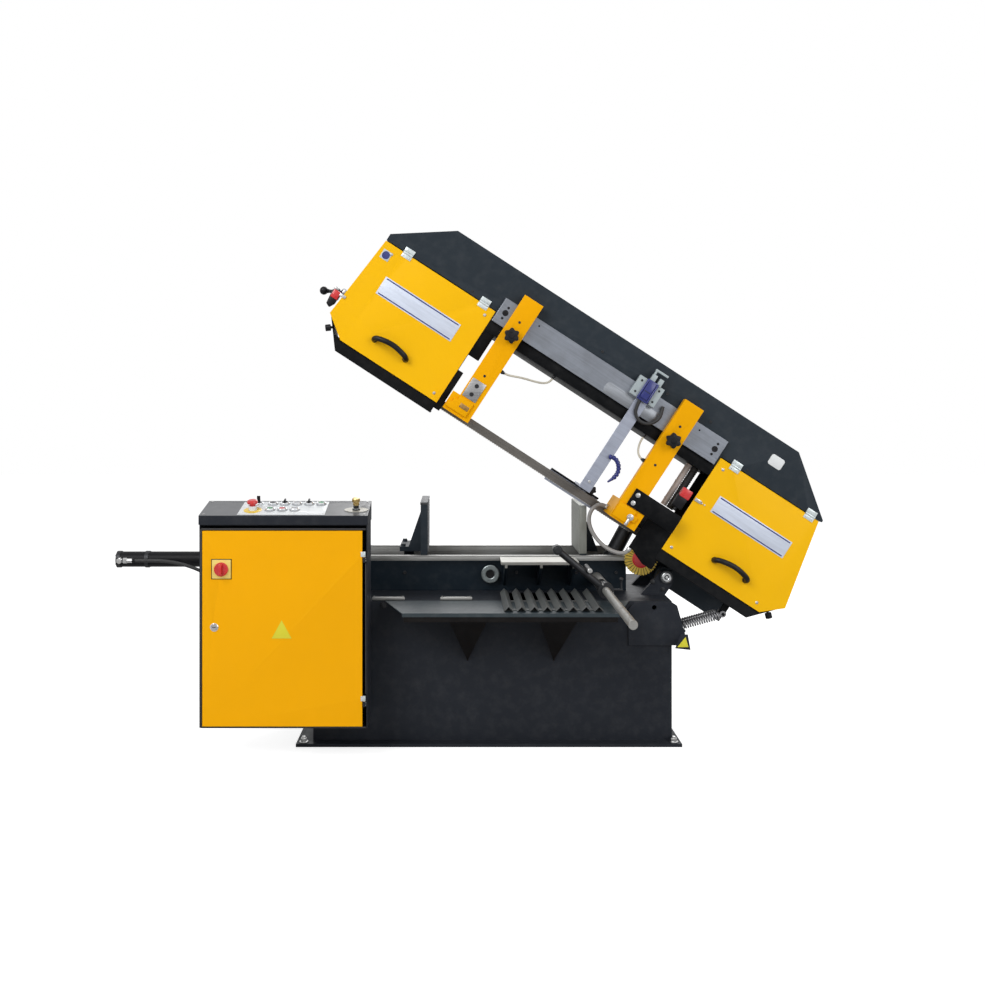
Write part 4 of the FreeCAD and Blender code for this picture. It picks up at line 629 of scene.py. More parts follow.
class SAW_OT_sheet_metal(bpy.types.Operator):
    """Finishes of the solids: copies with rounded edges where the edges show"""
    bl_idname = "saw.sheet_metal"
    bl_label = "Solids and finishes"

    def execute(self, context):
        edge = sizes().edge
        fine = sizes().machined_edge
        for material, width, nodes in (
                ("cover_yellow", edge * 0.7, "cover_left cover_right"), ("arm_yellow", edge * 0.6, "arm_left arm_right"),
                ("door_yellow", fine, "cabinet_door"), ("base_dark", fine, "cabinet"),
                ("bow_slate", edge * 0.8, "bow_frame"), ("guard_black", fine, "housing_left housing_right"),
                ("base_dark", edge * 0.8, "base_frame"), ("tray_grey", fine, "chip_tray"),
                ("grate_grey", fine * 0.6, "grate"), ("bed_slate", fine, "vise_bed"),
                ("bow_slate", edge * 0.6, "fixed_jaw moving_jaw"), ("steel_table", fine, "outfeed_table"),
                ("steel_bow", fine, "rail_bar"), ("steel_feeler", fine * 0.6, "feeler_bar"),
                ("pale_enamel", fine, "feeler_clamp"), ("steel_dull", fine, "stop_bar"),
                ("black_oxide", fine, "stop_carriage lift_barrel"), ("black_oxide", fine * 0.5, "stop_lever"),
                ("cast_iron", fine, "pivot_shaft drive_wheel idler_wheel"), ("cylinder_black", fine, "vise_cylinder"),
                ("chromed", fine, "vise_rod lift_rod"), ("bow_slate", edge, "gearmotor"),
                ("steel_long", fine, "idler_slide"), ("panel_pale", fine * 0.4, "console_panel"),
                ("blade_band", 0.0, "blade"), ("tray_grey", edge, "fluid_units"),
                ("grey_moulded", fine, "control_gear button_silver_rear button_silver_front"),
                ("bolt_zinc", fine * 0.5, "door_lock"), ("black_moulded", fine, "button_black latch_left latch_right"),
                ("black_moulded", fine * 0.8, "selector_left selector_right pilot_switch"),
                ("green_moulded", fine, "button_green_rear button_green_front"), ("red_moulded", fine, "button_red")):
            for node in nodes.split():
                softened(node, material, width)
        # Faces below a level take a second finish: the chip tray's gussets get painted shade, as they lie in the
        # tray's shadow; the outfeed table's faces under its top get the bed's slate.
        for shell, lower, level in (("chip_tray_shell", "gusset_dark", 0.505),
                                    ("outfeed_table_shell", "bed_slate", 0.655)):
            mesh = bpy.data.objects[shell].data
            mesh.materials.append(FINISHES[lower])
            for face in mesh.polygons:
                face.material_index = 1 if face.center.z < level else 0
        # Painted light: the cabinet's upward faces on the lid get a paler grey than its front, for the light falling
        # on the top.
        mesh = bpy.data.objects["cabinet_shell"].data
        mesh.materials.append(FINISHES["lid_top_painted_light"])
        for face in mesh.polygons:
            face.material_index = 1 if face.normal.z > 0.8 and face.center.z > 0.86 else 0
        return {"FINISHED"}


class SAW_OT_covers(bpy.types.Operator):
    """Hinges, bare plates, handles and screws of the two wheel covers"""
    bl_idname = "saw.covers"
    bl_label = "Covers"

    def execute(self, context):
        thick = sizes().plate * 1000
        for side, hinges, board, screws, grip_x in (
                ("left", (-1537, -1186), (-1561, -1216, 311, 388), ((-1160, 110), (-1160, 470), (-1590, 470)), -1395),
                ("right", (-24, 319), (-14, 319, 307, 380), ((-64, 110), (330, 110), (-60, 470)), 174)):
            body = side + "_cover"
            for x in hinges:
                rod((x - 21, -135.6, 506), (x + 21, -135.6, 506), 5.0, sides=24, edge=0.6)
                block(x - 21, x + 21, -136.6, COVER_FRONT, 486, 503, 0.6)
            on_bow(side + "_cover_hinges", "hinge_bright", body, "yellow_paint")
            for x in hinges:
                block(x - 21, x + 21, -136.2, BEAM_FRONT, 511.5, 528, 0.6)
            on_bow(side + "_hinge_leaves", "hinge_bright", "bow", "dark_paint")
            for x in hinges:
                for dx in (-12, 12):
                    screw((x + dx, -136.4, 493), FRONT, 2.6, 1.0)
            on_bow(side + "_hinge_screws", "bolt_zinc", body, "yellow_paint")
            for x, z in screws:
                turned((x, COVER_FRONT, z), FRONT, [(0, 0), (6, 0), (6, 1.4), (4.2, 2.8), (1.6, 3.1), (1.4, 1.6),
                                                    (0, 1.6)], steps=20)
            on_bow(side + "_cover_screws", "bolt_zinc", body, "yellow_paint")
            x0, x1, z0, z1 = board
            block(x0, x1, COVER_FRONT - thick, COVER_FRONT, z0, z1, 0.4)
            on_bow(side + "_bare_plate", "plate_silver", body, "white_panel")
            front = COVER_FRONT - thick - 0.4
            for low in (z0 + 4.0, z1 - 8.6):
                block(x0 + 7, x1 - 7, front, front + 0.7, low, low + 4.6, 0.0)
            on_bow(side + "_plate_lines", "blue_moulded", body, "white_panel")
            for sign in (-1, 1):
                foot = grip_x + sign * 71
                rod((foot, COVER_FRONT, 159), (foot, -139, 159), 13, 12, sides=32, edge=1.2)
                screw((foot + sign * 5, -139, 159), FRONT, 2.6, 1.2)
            on_bow(side + "_handle_feet", "black_moulded", body, "black_plastic")
            hose(side + "_handle_grip", [(grip_x - 71, -135, 157), (grip_x - 75, -150, 160), (grip_x - 60, -166, 170),
                                         (grip_x, -172, 181), (grip_x + 60, -166, 170), (grip_x + 75, -150, 160),
                                         (grip_x + 71, -135, 157)], 10.6, "black_moulded", body, ON_BOW,
                 ("handle_" + side,))
        block(-1626, -1588, -135.2, COVER_FRONT, 437, 475, 0.5)
        on_bow("corner_bare_plate", "white_enamel", "left_cover", "white_panel")
        disc((-1607, -135.1, 456), FRONT, 15.5, 0.6, steps=48)
        on_bow("corner_blue_disc", "blue_moulded", "left_cover", "white_panel")
        plate([(69, 592), (75, 586), (121, 586), (127, 592), (127, 624), (121, 630), (75, 630), (69, 624)],
              -131.6, BEAM_FRONT, edge=0.4)
        on_bow("beam_bare_plate", "white_bare", "bow", "white_panel")
        return {"FINISHED"}


class SAW_OT_beam(bpy.types.Operator):
    """Screws, end blocks, painted shadow strips and interlock switches on the bow's beam and housings"""
    bl_idname = "saw.beam"
    bl_label = "Beam"

    def execute(self, context):
        for x in (-1097, -133):
            for z in (496, 542):
                turned((x, RAIL_FRONT, z), FRONT, [(0, 0), (5.2, 0), (5.2, 0.5), (4.2, 0.8), (0, 0.3)], steps=24)
            turned((x, RAIL_FRONT, 519), FRONT, [(0, 0), (12, 0), (12, 0.8), (9.4, 1.2), (0, 0.4)], steps=36)
        for x, z in ((-222, 548), (-960, 548), (-1064, 490)):
            turned((x, RAIL_FRONT, z), FRONT, [(0, 0), (3.6, 0), (3.6, 0.5), (0, 0.4)], steps=20)
        on_bow("rail_bores", "black_moulded", "bow", "machined_steel")
        # Painted shadow: black strips over the beam's front band below the rail and over its underside, which lie in
        # shade.
        block(*RAIL_ENDS, -131.2, BEAM_FRONT, 423.5, 466.5, 0.3)
        block(*RAIL_ENDS, -129, 118, 421.8, 423, 0.3)
        on_bow("beam_painted_shadow_strips", "guard_black", "bow", "dark_paint")
        for low, high, inset in ((470, 516, 0.0), (478, 508, 9.0)):
            mid, half = (low + high) / 2, (high - low) / 2
            x0, x1 = -622 + inset + half * 0.5, -380 - inset - half * 0.5
            outline = [(x1 + half * 0.5 * math.cos(a), mid + half * math.sin(a))
                       for a in (math.pi * (i / 8 - 0.5) for i in range(9))]
            outline += [(x0 - half * 0.5 * math.cos(a), mid - half * math.sin(a))
                        for a in (math.pi * (i / 8 - 0.5) for i in range(9))]
            plate(outline, -146.1 if inset else -145.6, RAIL_FRONT, edge=0.2)
        on_bow("rail_relief", "steel_relief", "bow", "machined_steel")
        for x in (-1000, -700, -400, -200):
            cap_screw((x, BEAM_FRONT, 600), FRONT, 5.5, 3.0)
        for x in (-1560, -1250, 20, 300):
            cap_screw((x, BEAM_FRONT, 522), FRONT, 4.5, 2.6)
        on_bow("beam_screws", "black_oxide", "bow", "dark_paint")
        plate([(-1712, 236), (-1676, 236), (-1676, 190), (-1688, 168), (-1704, 176)], -116, -92, edge=2.0)
        block(-150, -106, -118, -96, 250, 300, 3.0)
        rod((-128, -107, 250), (-128, -107, 236), 8, 7, sides=24, edge=0.8)
        on_bow("interlock_switches", "black_moulded", "bow", "black_plastic")
        block(-1706, -1674, -120, -88, 206, 240, 3.0)
        block(-146, -104, -122, -94, 296, 334, 3.0)
        on_bow("interlock_heads", "red_moulded", "bow", "red_plastic")
        block(-1712, -1690, -112, -84, 240, 252, 2.0)
        block(-1676, -1662, -108, -94, 242, 258, 2.0)
        on_bow("tension_gauge", "bolt_zinc", "bow", "machined_steel")
        block(-1674, -1648, -139, -134.1, 226, 238, 0.8)
        on_bow("left_interlock_key", "bolt_zinc", "left_cover", "machined_steel")
        block(-90, -62, -139, -134.1, 310, 323, 0.8)
        for x in (-58, -46):
            rod((x, COVER_FRONT, 316), (x, -137, 316), 3.2, sides=18, edge=0.5)
        on_bow("right_interlock_key", "bolt_zinc", "right_cover", "machined_steel")
        for x, z in ((-1640, 176), (-1600, 110), (412, 176), (372, 110)):
            bolt((x, 26, z), BACK, 7.0)
        for x, z in ((-1500, 470), (-1300, 470), (-1200, 200), (300, 470), (60, 470), (360, 250)):
            bolt((x, 26, z), BACK, 7.0)
        on_bow("back_plate_bolts", "bolt_zinc", "bow", "dark_paint")
        return {"FINISHED"}


class SAW_OT_guides(bpy.types.Operator):
    """Clamp knobs, wear plates and screws of the two blade guide arms"""
    bl_idname = "saw.guides"
    bl_label = "Guide arms"

    def execute(self, context):
        for side, x in (("left", -1030), ("right", -297)):
            lobed((x, -198, 454), 27, 22, 2.4)
            turned((x, -220, 454), FRONT, [(0, 0), (12, 0), (10, 2.4), (0, 3.2)], steps=32)
            rod((x, ARM_FRONT, 454), (x, -199, 454), 12, 10, sides=32, edge=0.8)
            on_bow("clamp_grip_" + side, "black_moulded", side + "_knob", "black_plastic", ("knob_" + side,))
            for z in ((515, 270) if side == "left" else (515, 340)):
                cap_screw((x - 2, ARM_FRONT, z), FRONT, 5.0, 1.8)
            on_bow(side + "_arm_screws", "black_oxide", side + "_arm", "black_plastic")
        block(-1066, -1006, -184, ARM_FRONT, 163, 243, 0.8)
        on_bow("left_wear_plate", "steel_long", "left_arm", "machined_steel")
        for z in (184, 221):
            cap_screw((-1036, -184, z), FRONT, 8.5, 1.6)
        on_bow("left_plate_screws", "black_oxide", "left_arm", "black_plastic")
        block(-1052, -1014, -189.5, -187.8, 118, 136, 0.4)
        on_bow("left_bronze_pad", "bronze_pad", "left_arm", "brass")
        block(-310.5, -103.5, -186, -179.8, 155, 227.5, 1.0)
        on_bow("right_strip_plate", "guard_black", "right_arm", "black_plastic")
        plate([(-336, 92), (-262, 92), (-262, 108), (-246, 108), (-246, 134), (-262, 134), (-262, 152), (-336, 152)],
              -188, ARM_FRONT, edge=1.2)
        on_bow("right_foot_clamp", "arm_yellow", "right_arm", "yellow_paint")
        plate([(-1098, 96), (-1008, 96), (-1008, 156), (-1070, 156), (-1070, 140), (-1084, 140), (-1084, 122),
               (-1098, 122)], -188, ARM_FRONT, edge=1.2)
        on_bow("left_foot_clamp", "arm_yellow", "left_arm", "yellow_paint")
        for z in (207, 172):
            bolt((-292, -186, z), FRONT, 6.5)
        bolt((-272, -188, 120), FRONT, 9.0)
        rod((-272, -186, 84), (-272, -186, 112), 7.0, sides=24, edge=1.0)
        on_bow("guide_nuts", "bolt_zinc", "right_arm", "machined_steel")
        return {"FINISHED"}


class SAW_OT_blade(bpy.types.Operator):
    """The teeth along the blade's straight run, pointing down at the stock"""
    bl_idname = "saw.blade"
    bl_label = "Blade teeth"

    def execute(self, context):
        pitch = sizes().tooth_pitch * 1000
        deep = sizes().tooth_depth * 1000
        wheel_r, band_gap, half_band = 199.6, 0.55, 17.0
        root = WHEEL_Z - wheel_r - band_gap - half_band
        x, run_end = -1112.0, -212.0
        while x < run_end:
            plate([(x, root + 0.2), (x + pitch * 0.96, root + 0.2), (x + pitch * 0.30, root - deep * 0.5),
                   (x + pitch * 0.02, root - deep * 0.62)], -0.75, 0.75)
            x += pitch
        on_bow("blade_teeth", "tooth_edge", "bow", "blade_steel")
        return {"FINISHED"}


class SAW_OT_feeler(bpy.types.Operator):
    """The feeler's blue clamp block, its switch lever, its cable and the jointed coolant hose"""
    bl_idname = "saw.feeler"
    bl_label = "Feeler"

    def execute(self, context):
        block(-500, -452, -176, -169, 518, 606, 2.0)
        block(-492, -460, -183, -174, 528, 596, 2.5)
        for x in (-497, -455):
            rod((x, -178, 522), (x, -178, 602), 4.0, sides=20, edge=0.8)
        on_bow("feeler_blue_block", "blue_moulded", "bow", "black_plastic")
        for x in (-516, -438):
            for z in (537, 586):
                turned((x, -169, z), FRONT, [(0, 0), (4.6, 0), (4.6, 0.9), (0, 0.6)], steps=20)
        block(-489, -463, -183.8, -182, 556, 559, 0.3)
        on_bow("feeler_screws", "black_oxide", "bow", "black_plastic")
        block(-492, -472, -172, -150, 606, 632, 1.5)
        block(-460, -442, -172, -150, 598, 630, 1.5)
        rod((-486, -160, 632), (-486, -160, 648), 5, sides=20, edge=0.8)
        block(-492, -436, -166, -154, 646, 655, 2.0)
        on_bow("feeler_switch", "pale_enamel", "bow", "machined_steel")
        hose("feeler_cable", [(-482, -166, 522), (-478, -164, 492), (-468, -162, 464), (-436, -160, 448),
                              (-402, -160, 458), (-381, -160, 488), (-380, -160, 516), (-392, -158, 546)], 6.4,
             "rubber", "bow", ON_BOW)
        route = [Vector(p) for p in ((-462, -158, 271), (-450, -160, 277), (-438, -161, 278), (-427, -162, 274),
                                     (-417, -162, 267), (-409, -162, 258), (-403, -162, 247), (-400, -162, 235),
                                     (-400, -162, 222), (-404, -162, 209))]
        for first, second in zip(route, route[1:]):
            way = (second - first).normalized()
            turned(first, way, [(0, 0), (6.4, 0), (9.0, 3.0), (9.0, 9.5), (6.6, 13.0), (0, 13.0)], steps=20)
        rod(route[-1], (-414, -162, 186), 7.0, 3.2, sides=20, edge=0.4)
        on_bow("jointed_coolant_hose", "blue_moulded", "feeler", "black_plastic")
        block(-606, -382, -7.5, -2.5, 108, 116, 0.8)
        on_bow("feeler_foot_lip", "guard_black", "feeler", "black_plastic")
        lobed((-422, 1, 129), 15, 12, 1.6, lobes=5)
        rod((-422, 1, 129), (-422, 10, 129), 7, sides=24)
        block(-436, -408, 8, 12, 100, 140, 0.8)
        on_bow("feeler_foot_knob", "black_moulded", "feeler", "black_plastic")
        for z in (150, 480):
            cap_screw((-471.5, -151.4, z), FRONT, 5.0, 2.6)
        on_bow("feeler_bar_screws", "bolt_zinc", "feeler", "machined_steel")
        return {"FINISHED"}


class SAW_OT_base(bpy.types.Operator):
    """Anchor bolts, light bars, seams and screws of the base, tray and bed"""
    bl_idname = "saw.base"
    bl_label = "Base"

    def execute(self, context):
        for x in (-700, 700):
            for y in (-225, 455):
                bolt((x, y, 12), UP, 12.0)
                rod((x, y, 20), (x, y, 34), 7.5, sides=20, edge=0.8)
        on_base("anchor_bolts", "bolt_zinc", "base", "machined_steel")
        for x0, x1 in ((-445, -319), (-185, -62)):
            block(x0, x1, -198, -184, 541, 555, 5.0)
            for x in (x0 + 8, x1 - 8):
                cap_screw((x, -191, 556), UP, 3.4, 1.6)
        on_base("tray_clamp_bars", "steel_dull", "base", "machined_steel")
        bolt((-400, -200, 525), FRONT, 9.0)
        for x in (-560, -300, 0, 300, 600):
            bolt((x, 430, 500), BACK, 7.0)
        for x in (-610, -500, -330, 120, 360, 520):
            cap_screw((x, 25, 612), FRONT, 6.5, 5.0)
        for z in (60, 160, 300, 440):
            bolt((698, 380, z), RIGHT, 6.0)
        on_base("base_bolts", "black_oxide", "base", "base_paint")
        turned((13, -3, 610), FRONT, [(17, 0), (36, 0), (36, 1.2), (33, 3.0), (20, 3.0), (17, 1.2)], steps=48)
        on_base("bed_bush_ring", "bush_steel", "base", "dark_paint")
        # Painted shade: a black disc in the bush's bore stands for the dark inside the hole.
        turned((13, -2.6, 610), FRONT, [(0, 0), (19, 0), (19, 1.6), (0, 0.8)], steps=40)
        on_base("bed_bush_bore_painted_shade", "black_moulded", "base", "dark_paint")
        block(-632, 556, 21.4, 48, 676, 680.2, 0.5)
        block(-632, 556, 312, 340.6, 676, 680.2, 0.5)
        block(-640, 560, -4.6, -2.8, 664, 680, 0.4)
        on_base("bed_rail_strips", "steel_dull", "base", "machined_steel")
        block(-632, 556, 313.6, 315, 636, 679.6, 0.3)
        on_base("bed_rear_lining", "steel_dull", "base", "machined_steel")
        # A dark band under the tray's front: a return lip, drawn in the near-black of the tray's shadow, so partly
        # painted shadow.
        block(-312, 457, -436, -424, 509, 533, 0.8)
        on_base("tray_lip_and_painted_shadow", "gusset_dark", "base", "base_paint")
        block(500, 650, 420, 433, 120, 300, 2.0)
        for i in range(7):
            block(515, 635, 431, 436, 140 + i * 21, 149 + i * 21, 0.8)
        on_base("rear_vent", "bow_slate", "base", "base_paint")
        for y, way in ((-72, -1), (180, 1)):
            turned((704, y, 609), (0, way, 0), [(8, 0), (19, 0), (19, 1.2), (16, 2.6), (10, 2.6), (8, 1.2)], steps=40)
            turned((704, y, 609), (0, way, 0), [(0, 0), (5, 0), (5, 3.4), (0, 4.2)], steps=24)
        on_base("pivot_cap_faces", "steel_turned", "base", "bright_cap")
        plate([(700, 372), (758, 366), (748, 424), (722, 424)], -251.6, -249, edge=0.4)
        on_base("spring_sign_backing", "base_dark", "base", "base_paint")
        plate([(708, 377), (750, 377), (739, 415)], -253.2, -251.6, edge=0.3)
        on_base("spring_bare_sign", "sign_yellow", "base", "yellow_paint")
        for x, z in ((650, 590), (690, 560), (718, 594)):
            bolt((x, -62, z), FRONT, 6.5)
        on_base("pivot_cheek_bolts", "black_oxide", "base", "base_paint")
        return {"FINISHED"}


class SAW_OT_vise(bpy.types.Operator):
    """Jaw faces and caps, cylinder collars and the hex elbow of the vise"""
    bl_idname = "saw.vise"
    bl_label = "Vise"

    def execute(self, context):
        for i in range(18):
            z = JAW_LOW + i * SERRATION
            block(-240, -237.8, 42, 333, z, z + 7.6, 0.5)
        block(-268.5, -238, 38.6, 336, 883, 893, 1.0)
        on_base("moving_jaw_face", "cast_iron", "vise_jaw", "dark_paint")
        for i in range(17):
            z = JAW_LOW + i * SERRATION
            block(373.6, 375.4, 42, 333, z, z + 7.6, 0.5)
        block(374.3, 375.4, 40, 335, 684, 879, 0.0)
        on_base("fixed_jaw_face", "jaw_pale", "base", "dark_paint")
        block(374.6, 403, 37.6, 40.4, 686, 880, 0.8)
        block(374.6, 403, 38.8, 336, 871, 881, 1.0)
        on_base("fixed_jaw_plate", "jaw_pale", "base", "dark_paint")
        for x in (-1538, -1420, -662):
            turned((x, 190, 641), RIGHT, [(31.5, 0), (35, 0.8), (35, 17), (31.5, 18)], steps=48)
        for i in range(4):
            angle = math.pi / 4 + i * math.pi / 2
            y, z = 190 + 25 * math.cos(angle), 641 + 25 * math.sin(angle)
            cap_screw((-1538, y, z), LEFT, 4.4, 3.4)
        on_base("vise_cylinder_collars", "black_oxide", "base", "dark_paint")
        rod((-1512, 122, 643), (-1512, 147, 643), 12.5, sides=6, edge=1.0)
        rod((-1498, 134, 643), (-1482, 134, 643), 11.5, sides=6, edge=1.0)
        rod((-1482, 134, 643), (-1452, 134, 643), 9.6, 8.8, sides=28, edge=0.6)
        rod((-668, 132, 486), (-680, 132, 486), 16.5, sides=6, edge=1.0)
        rod((-680, 132, 486), (-694, 132, 486), 11.0, 8.6, sides=28, edge=0.6)
        on_base("vise_fittings", "bolt_zinc", "base", "chrome_rod")
        return {"FINISHED"}


class SAW_OT_console(bpy.types.Operator):
    """The stop button, the bezels' rings, the flow valve and the bare labels on the sloped console"""
    bl_idname = "saw.console"
    bl_label = "Console"

    def execute(self, context):
        keys = [(FIRST_KEY + KEY_PITCH * i, y) for y, count in ((124, 5), (57, 3)) for i in range(count)]
        for x, y in keys + [(-854, 122)]:
            turned((x, y, 6.6), UP, [(11.6, 0), (17.4, 0), (17.4, 2.4), (15.2, 4.6), (12.8, 4.6), (11.6, 3.4)], steps=40)
        on_console("control_rings", "chromed", "base", "chrome_rod")
        turned((-864, 55, 26), UP, [(0, 0), (10, 0), (19, 3.0), (20, 8.0), (18.6, 12.6), (13, 15.6), (0, 16.4)],
               steps=48)
        rod((-864, 55, -11), (-864, 55, 27), 11, sides=36)
        on_console("stop_mushroom", "red_moulded", "estop", "red_plastic", ("estop_button",))
        turned((-864, 55, 1.8), UP, [(15.5, 0), (33, 0), (33, 1.4), (31, 2.2), (15.5, 2.2)], steps=56)
        on_console("stop_yellow_ring", "yellow_moulded", "base", "yellow_paint")
        for x, y in keys:
            turned((x, y, 2.0), UP, [(15.4, 0), (20, 0), (20, 1.4), (15.4, 1.4)], steps=36)
        on_console("control_collars", "grey_moulded", "base", "black_plastic")
        bm = work()
        made = bmesh.ops.create_circle(bm, cap_ends=True, segments=64, radius=1.0,
                                       matrix=Matrix.Translation((VALVE_X, VALVE_Y, 0.1)))["verts"]
        bmesh.ops.scale(bm, vec=(43, 27, 1), verts=made, space=Matrix.Translation((488, -62, 0)))
        grown = bmesh.ops.extrude_face_region(bm, geom=list(bm.faces))["geom"]
        bmesh.ops.translate(bm, vec=(0, 0, 2.2), verts=vertices(grown))
        bmesh.ops.recalc_face_normals(bm, faces=bm.faces)
        on_console("flow_valve_plate", "oval_bare", "base", "white_panel")
        rod((VALVE_X, VALVE_Y, -11), (VALVE_X, VALVE_Y, 21), 5, sides=28)
        turned((VALVE_X, VALVE_Y, 19), UP, [(0, 0), (10, 0), (11.5, 2), (11.5, 8), (9.5, 10), (9.5, 12), (14, 14),
                                            (14, 24), (12, 27), (0, 28)], steps=44)
        for i in range(36):
            angle = math.tau * i / 36
            x, y = VALVE_X + 14 * math.cos(angle), VALVE_Y + 14 * math.sin(angle)
            rod((x, y, 34), (x, y, 42), 0.75, sides=6)
        on_console("flow_knob_knurled", "brass_turned", "flow", "brass", ("flow_knob",))
        turned((VALVE_X, VALVE_Y, 2), UP, [(5.6, 0), (14, 0), (14, 4), (10.5, 6), (10.5, 15), (5.6, 15)], steps=40)
        on_console("flow_valve_nut", "black_oxide", "base", "black_plastic")
        for x, y in ((-1035, 14), (-1035, 158), (-455, 14), (-455, 158)):
            cap_screw((x, y, 0), UP, 4.0, 2.0)
        for x, y in ((-906, 12), (-906, 149), (-603, 12), (-603, 149)):
            cap_screw((x, y, 2), UP, 2.6, 1.2)
        on_console("console_screws", "bolt_zinc", "base", "chrome_rod")
        return {"FINISHED"}


class SAW_OT_cabinet(bpy.types.Operator):
    """The main switch, the lock's rim, the bare sign place and the door's seal"""
    bl_idname = "saw.cabinet"
    bl_label = "Cabinet"

    def execute(self, context):
        block(-1000, -932, -434, DOOR_FRONT, 665, 733, 2.0)
        on_base("main_switch_plate", "switch_plate", "door", "yellow_paint")
        # A black rim around the switch plate: its dark edge, partly a painted shadow of the plate.
        block(-1002.5, -929.5, -432.4, DOOR_FRONT, 662.5, 735.5, 0.5)
        on_base("main_switch_edge_and_painted_shadow", "black_moulded", "door", "black_plastic")
        turned((-966, -434.2, 699), FRONT, [(0, 0), (25, 0), (25, 7), (22.5, 10), (0, 10)], steps=48)
        block(-971.5, -960.5, -460, -443, 678, 720, 3.0)
        rod((-966, DOOR_FRONT, 699), (-966, -434.4, 699), 25, sides=40)
        rod((-966, -414.4, 699), (-966, -432, 699), 5, sides=24)
        on_base("main_switch_grip", "red_moulded", "switch", "red_plastic", ("main_switch",))
        turned((-992, DOOR_FRONT, 490), FRONT, [(12.4, 0), (15, 0), (15, 1.5), (13.6, 2.6), (12.4, 2.6)], steps=40)
        on_base("lock_rim", "chromed", "door", "chrome_rod")
        block(-998, -986, -437, -435.2, 489, 491.2, 0.3)
        on_base("lock_slot", "black_oxide", "lock", "black_plastic")
        plate([(-786, 450), (-714, 450), (-750, 516)], -432.4, DOOR_FRONT, edge=0.4)
        on_base("bare_sign_place", "sign_yellow", "door", "yellow_paint")
        for z in (224, 742):
            rod((-454, -430, z + 1), (-454, -430, z + 19.6), 5.6, sides=24, edge=0.5)
            block(-466, -452, -433, -431.2, z + 1, z + 19, 0.4)
        on_base("door_hinge_barrels", "hinge_bright", "door", "yellow_paint")
        for x0, x1, z0, z1 in ((-1041, -449, 838, 845), (-1041, -449, 126.5, 132), (-1044, -1037, 132, 838),
                               (-450.5, -446.5, 250, 720)):
            block(x0, x1, -427.5, -424, z0, z1, 0.6)
        on_base("door_seal", "rubber", "base", "hose_rubber")
        for z in (224, 742):
            for dz in (-11, 11):
                screw((-449, -429, z - 9.5 + dz * 0.4), FRONT, 1.8, 0.8)
        for x in (-620, -500):
            for z in (220, 480):
                bolt((x, -232, z + 20), UP, 7.0)
        on_base("cabinet_screws", "bolt_zinc", "base", "chrome_rod")
        return {"FINISHED"}


class SAW_OT_stop(bpy.types.Operator):
    """End, rings and screw of the length stop"""
    bl_idname = "saw.stop"
    bl_label = "Length stop"

    def execute(self, context):
        turned((STOP_X, -858, STOP_Z), BACK, [(0, 0.2), (13, 0.2), (15.6, 2.5), (15.6, 16), (0, 16)], steps=40)
        for y in (-300, -420, -540, -660, -780):
            turned((STOP_X, y, STOP_Z), BACK, [(14.6, -0.8), (15.25, -0.4), (15.25, 0.4), (14.6, 0.8)], steps=32)
        on_base("stop_bar_rings", "steel_dull", "base", "machined_steel")
        turned((STOP_X, -120, STOP_Z), FRONT, [(15.2, 0), (23, 0), (23, 8), (19, 12), (15.2, 12)], steps=40)
        on_base("stop_socket_ring", "black_oxide", "base", "black_plastic")
        turned((378, -262, 665), FRONT, [(0, 0), (9.4, 0), (9.4, 4), (7, 6), (0, 6)], steps=32)
        for dx, dz in ((-12, 24), (24, -10)):
            cap_screw((STOP_X + dx, -255, STOP_Z + dz), FRONT, 3.6, 2.0)
        on_base("stop_carriage_screws", "bolt_zinc", "stop", "machined_steel")
        turned((258, -255, 741), FRONT, [(0, 0), (14, 0), (14, 2), (11, 4), (0, 4)], steps=36)
        on_base("stop_lever_end", "black_oxide", "stop", "black_plastic")
        return {"FINISHED"}


class SAW_OT_springs(bpy.types.Operator):
    """The two return springs, wound as coils between the base's anchor and the bow's hook"""
    bl_idname = "saw.springs"
    bl_label = "Return springs"

    def execute(self, context):
        anchor = Vector((745.0, 0.0, 426.0))
        hook = (ON_BOW @ Vector((251.0, 0.0, 0.0))) * 1000
        line = hook - anchor
        way = line.normalized()
        wire = sizes().spring_wire * 500
        turns, per_turn = 15, 16
        pin_gap, coil_r, eye_r = 17, 17, 6.1
        for index, y in enumerate((-112.0, -66.0)):
            lift = Vector((0.0, y, 0.0))
            bm = work()
            side = Vector(BACK)
            centre = anchor + lift + way * pin_gap
            at = centre + side * (coil_r - wire)
            turn = Matrix((side, way, side.cross(way))).transposed().to_4x4()
            ring = bmesh.ops.create_circle(bm, cap_ends=False, segments=8, radius=wire,
                                           matrix=Matrix.Translation(at) @ turn)
            geom = ring["verts"] + list({e for v in ring["verts"] for e in v.link_edges})
            step = (line.length - 2 * pin_gap) / (turns * per_turn)
            bmesh.ops.spin(bm, geom=geom, cent=centre, axis=way, dvec=way * step, angle=math.tau * turns,
                           steps=turns * per_turn)
            holes = [e for e in bm.edges if e.is_boundary]
            bmesh.ops.holes_fill(bm, edges=holes, sides=0)
            for end, sign in ((anchor, 1), (hook, -1)):
                eye = end + lift
                turned(eye, BACK, [(eye_r, -wire), (eye_r + 2 * wire, -wire), (eye_r + 2 * wire, wire), (eye_r, wire)],
                       steps=28)
                rod(eye + way * sign * (eye_r + wire), eye + way * sign * 18, wire, sides=10)
                rod(eye + way * sign * 16, eye + way * sign * 18.5, 15, sides=24, edge=0.5)
            bmesh.ops.recalc_face_normals(bm, faces=bm.faces)
            obj = on_base("return_spring_%d" % (index + 1), "spring_grey", None, "spring_steel",
                          ("return_springs",), angle=50.0)
            end = (hook + lift - way * 16) * 0.001
            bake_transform(obj)
        return {"FINISHED"}


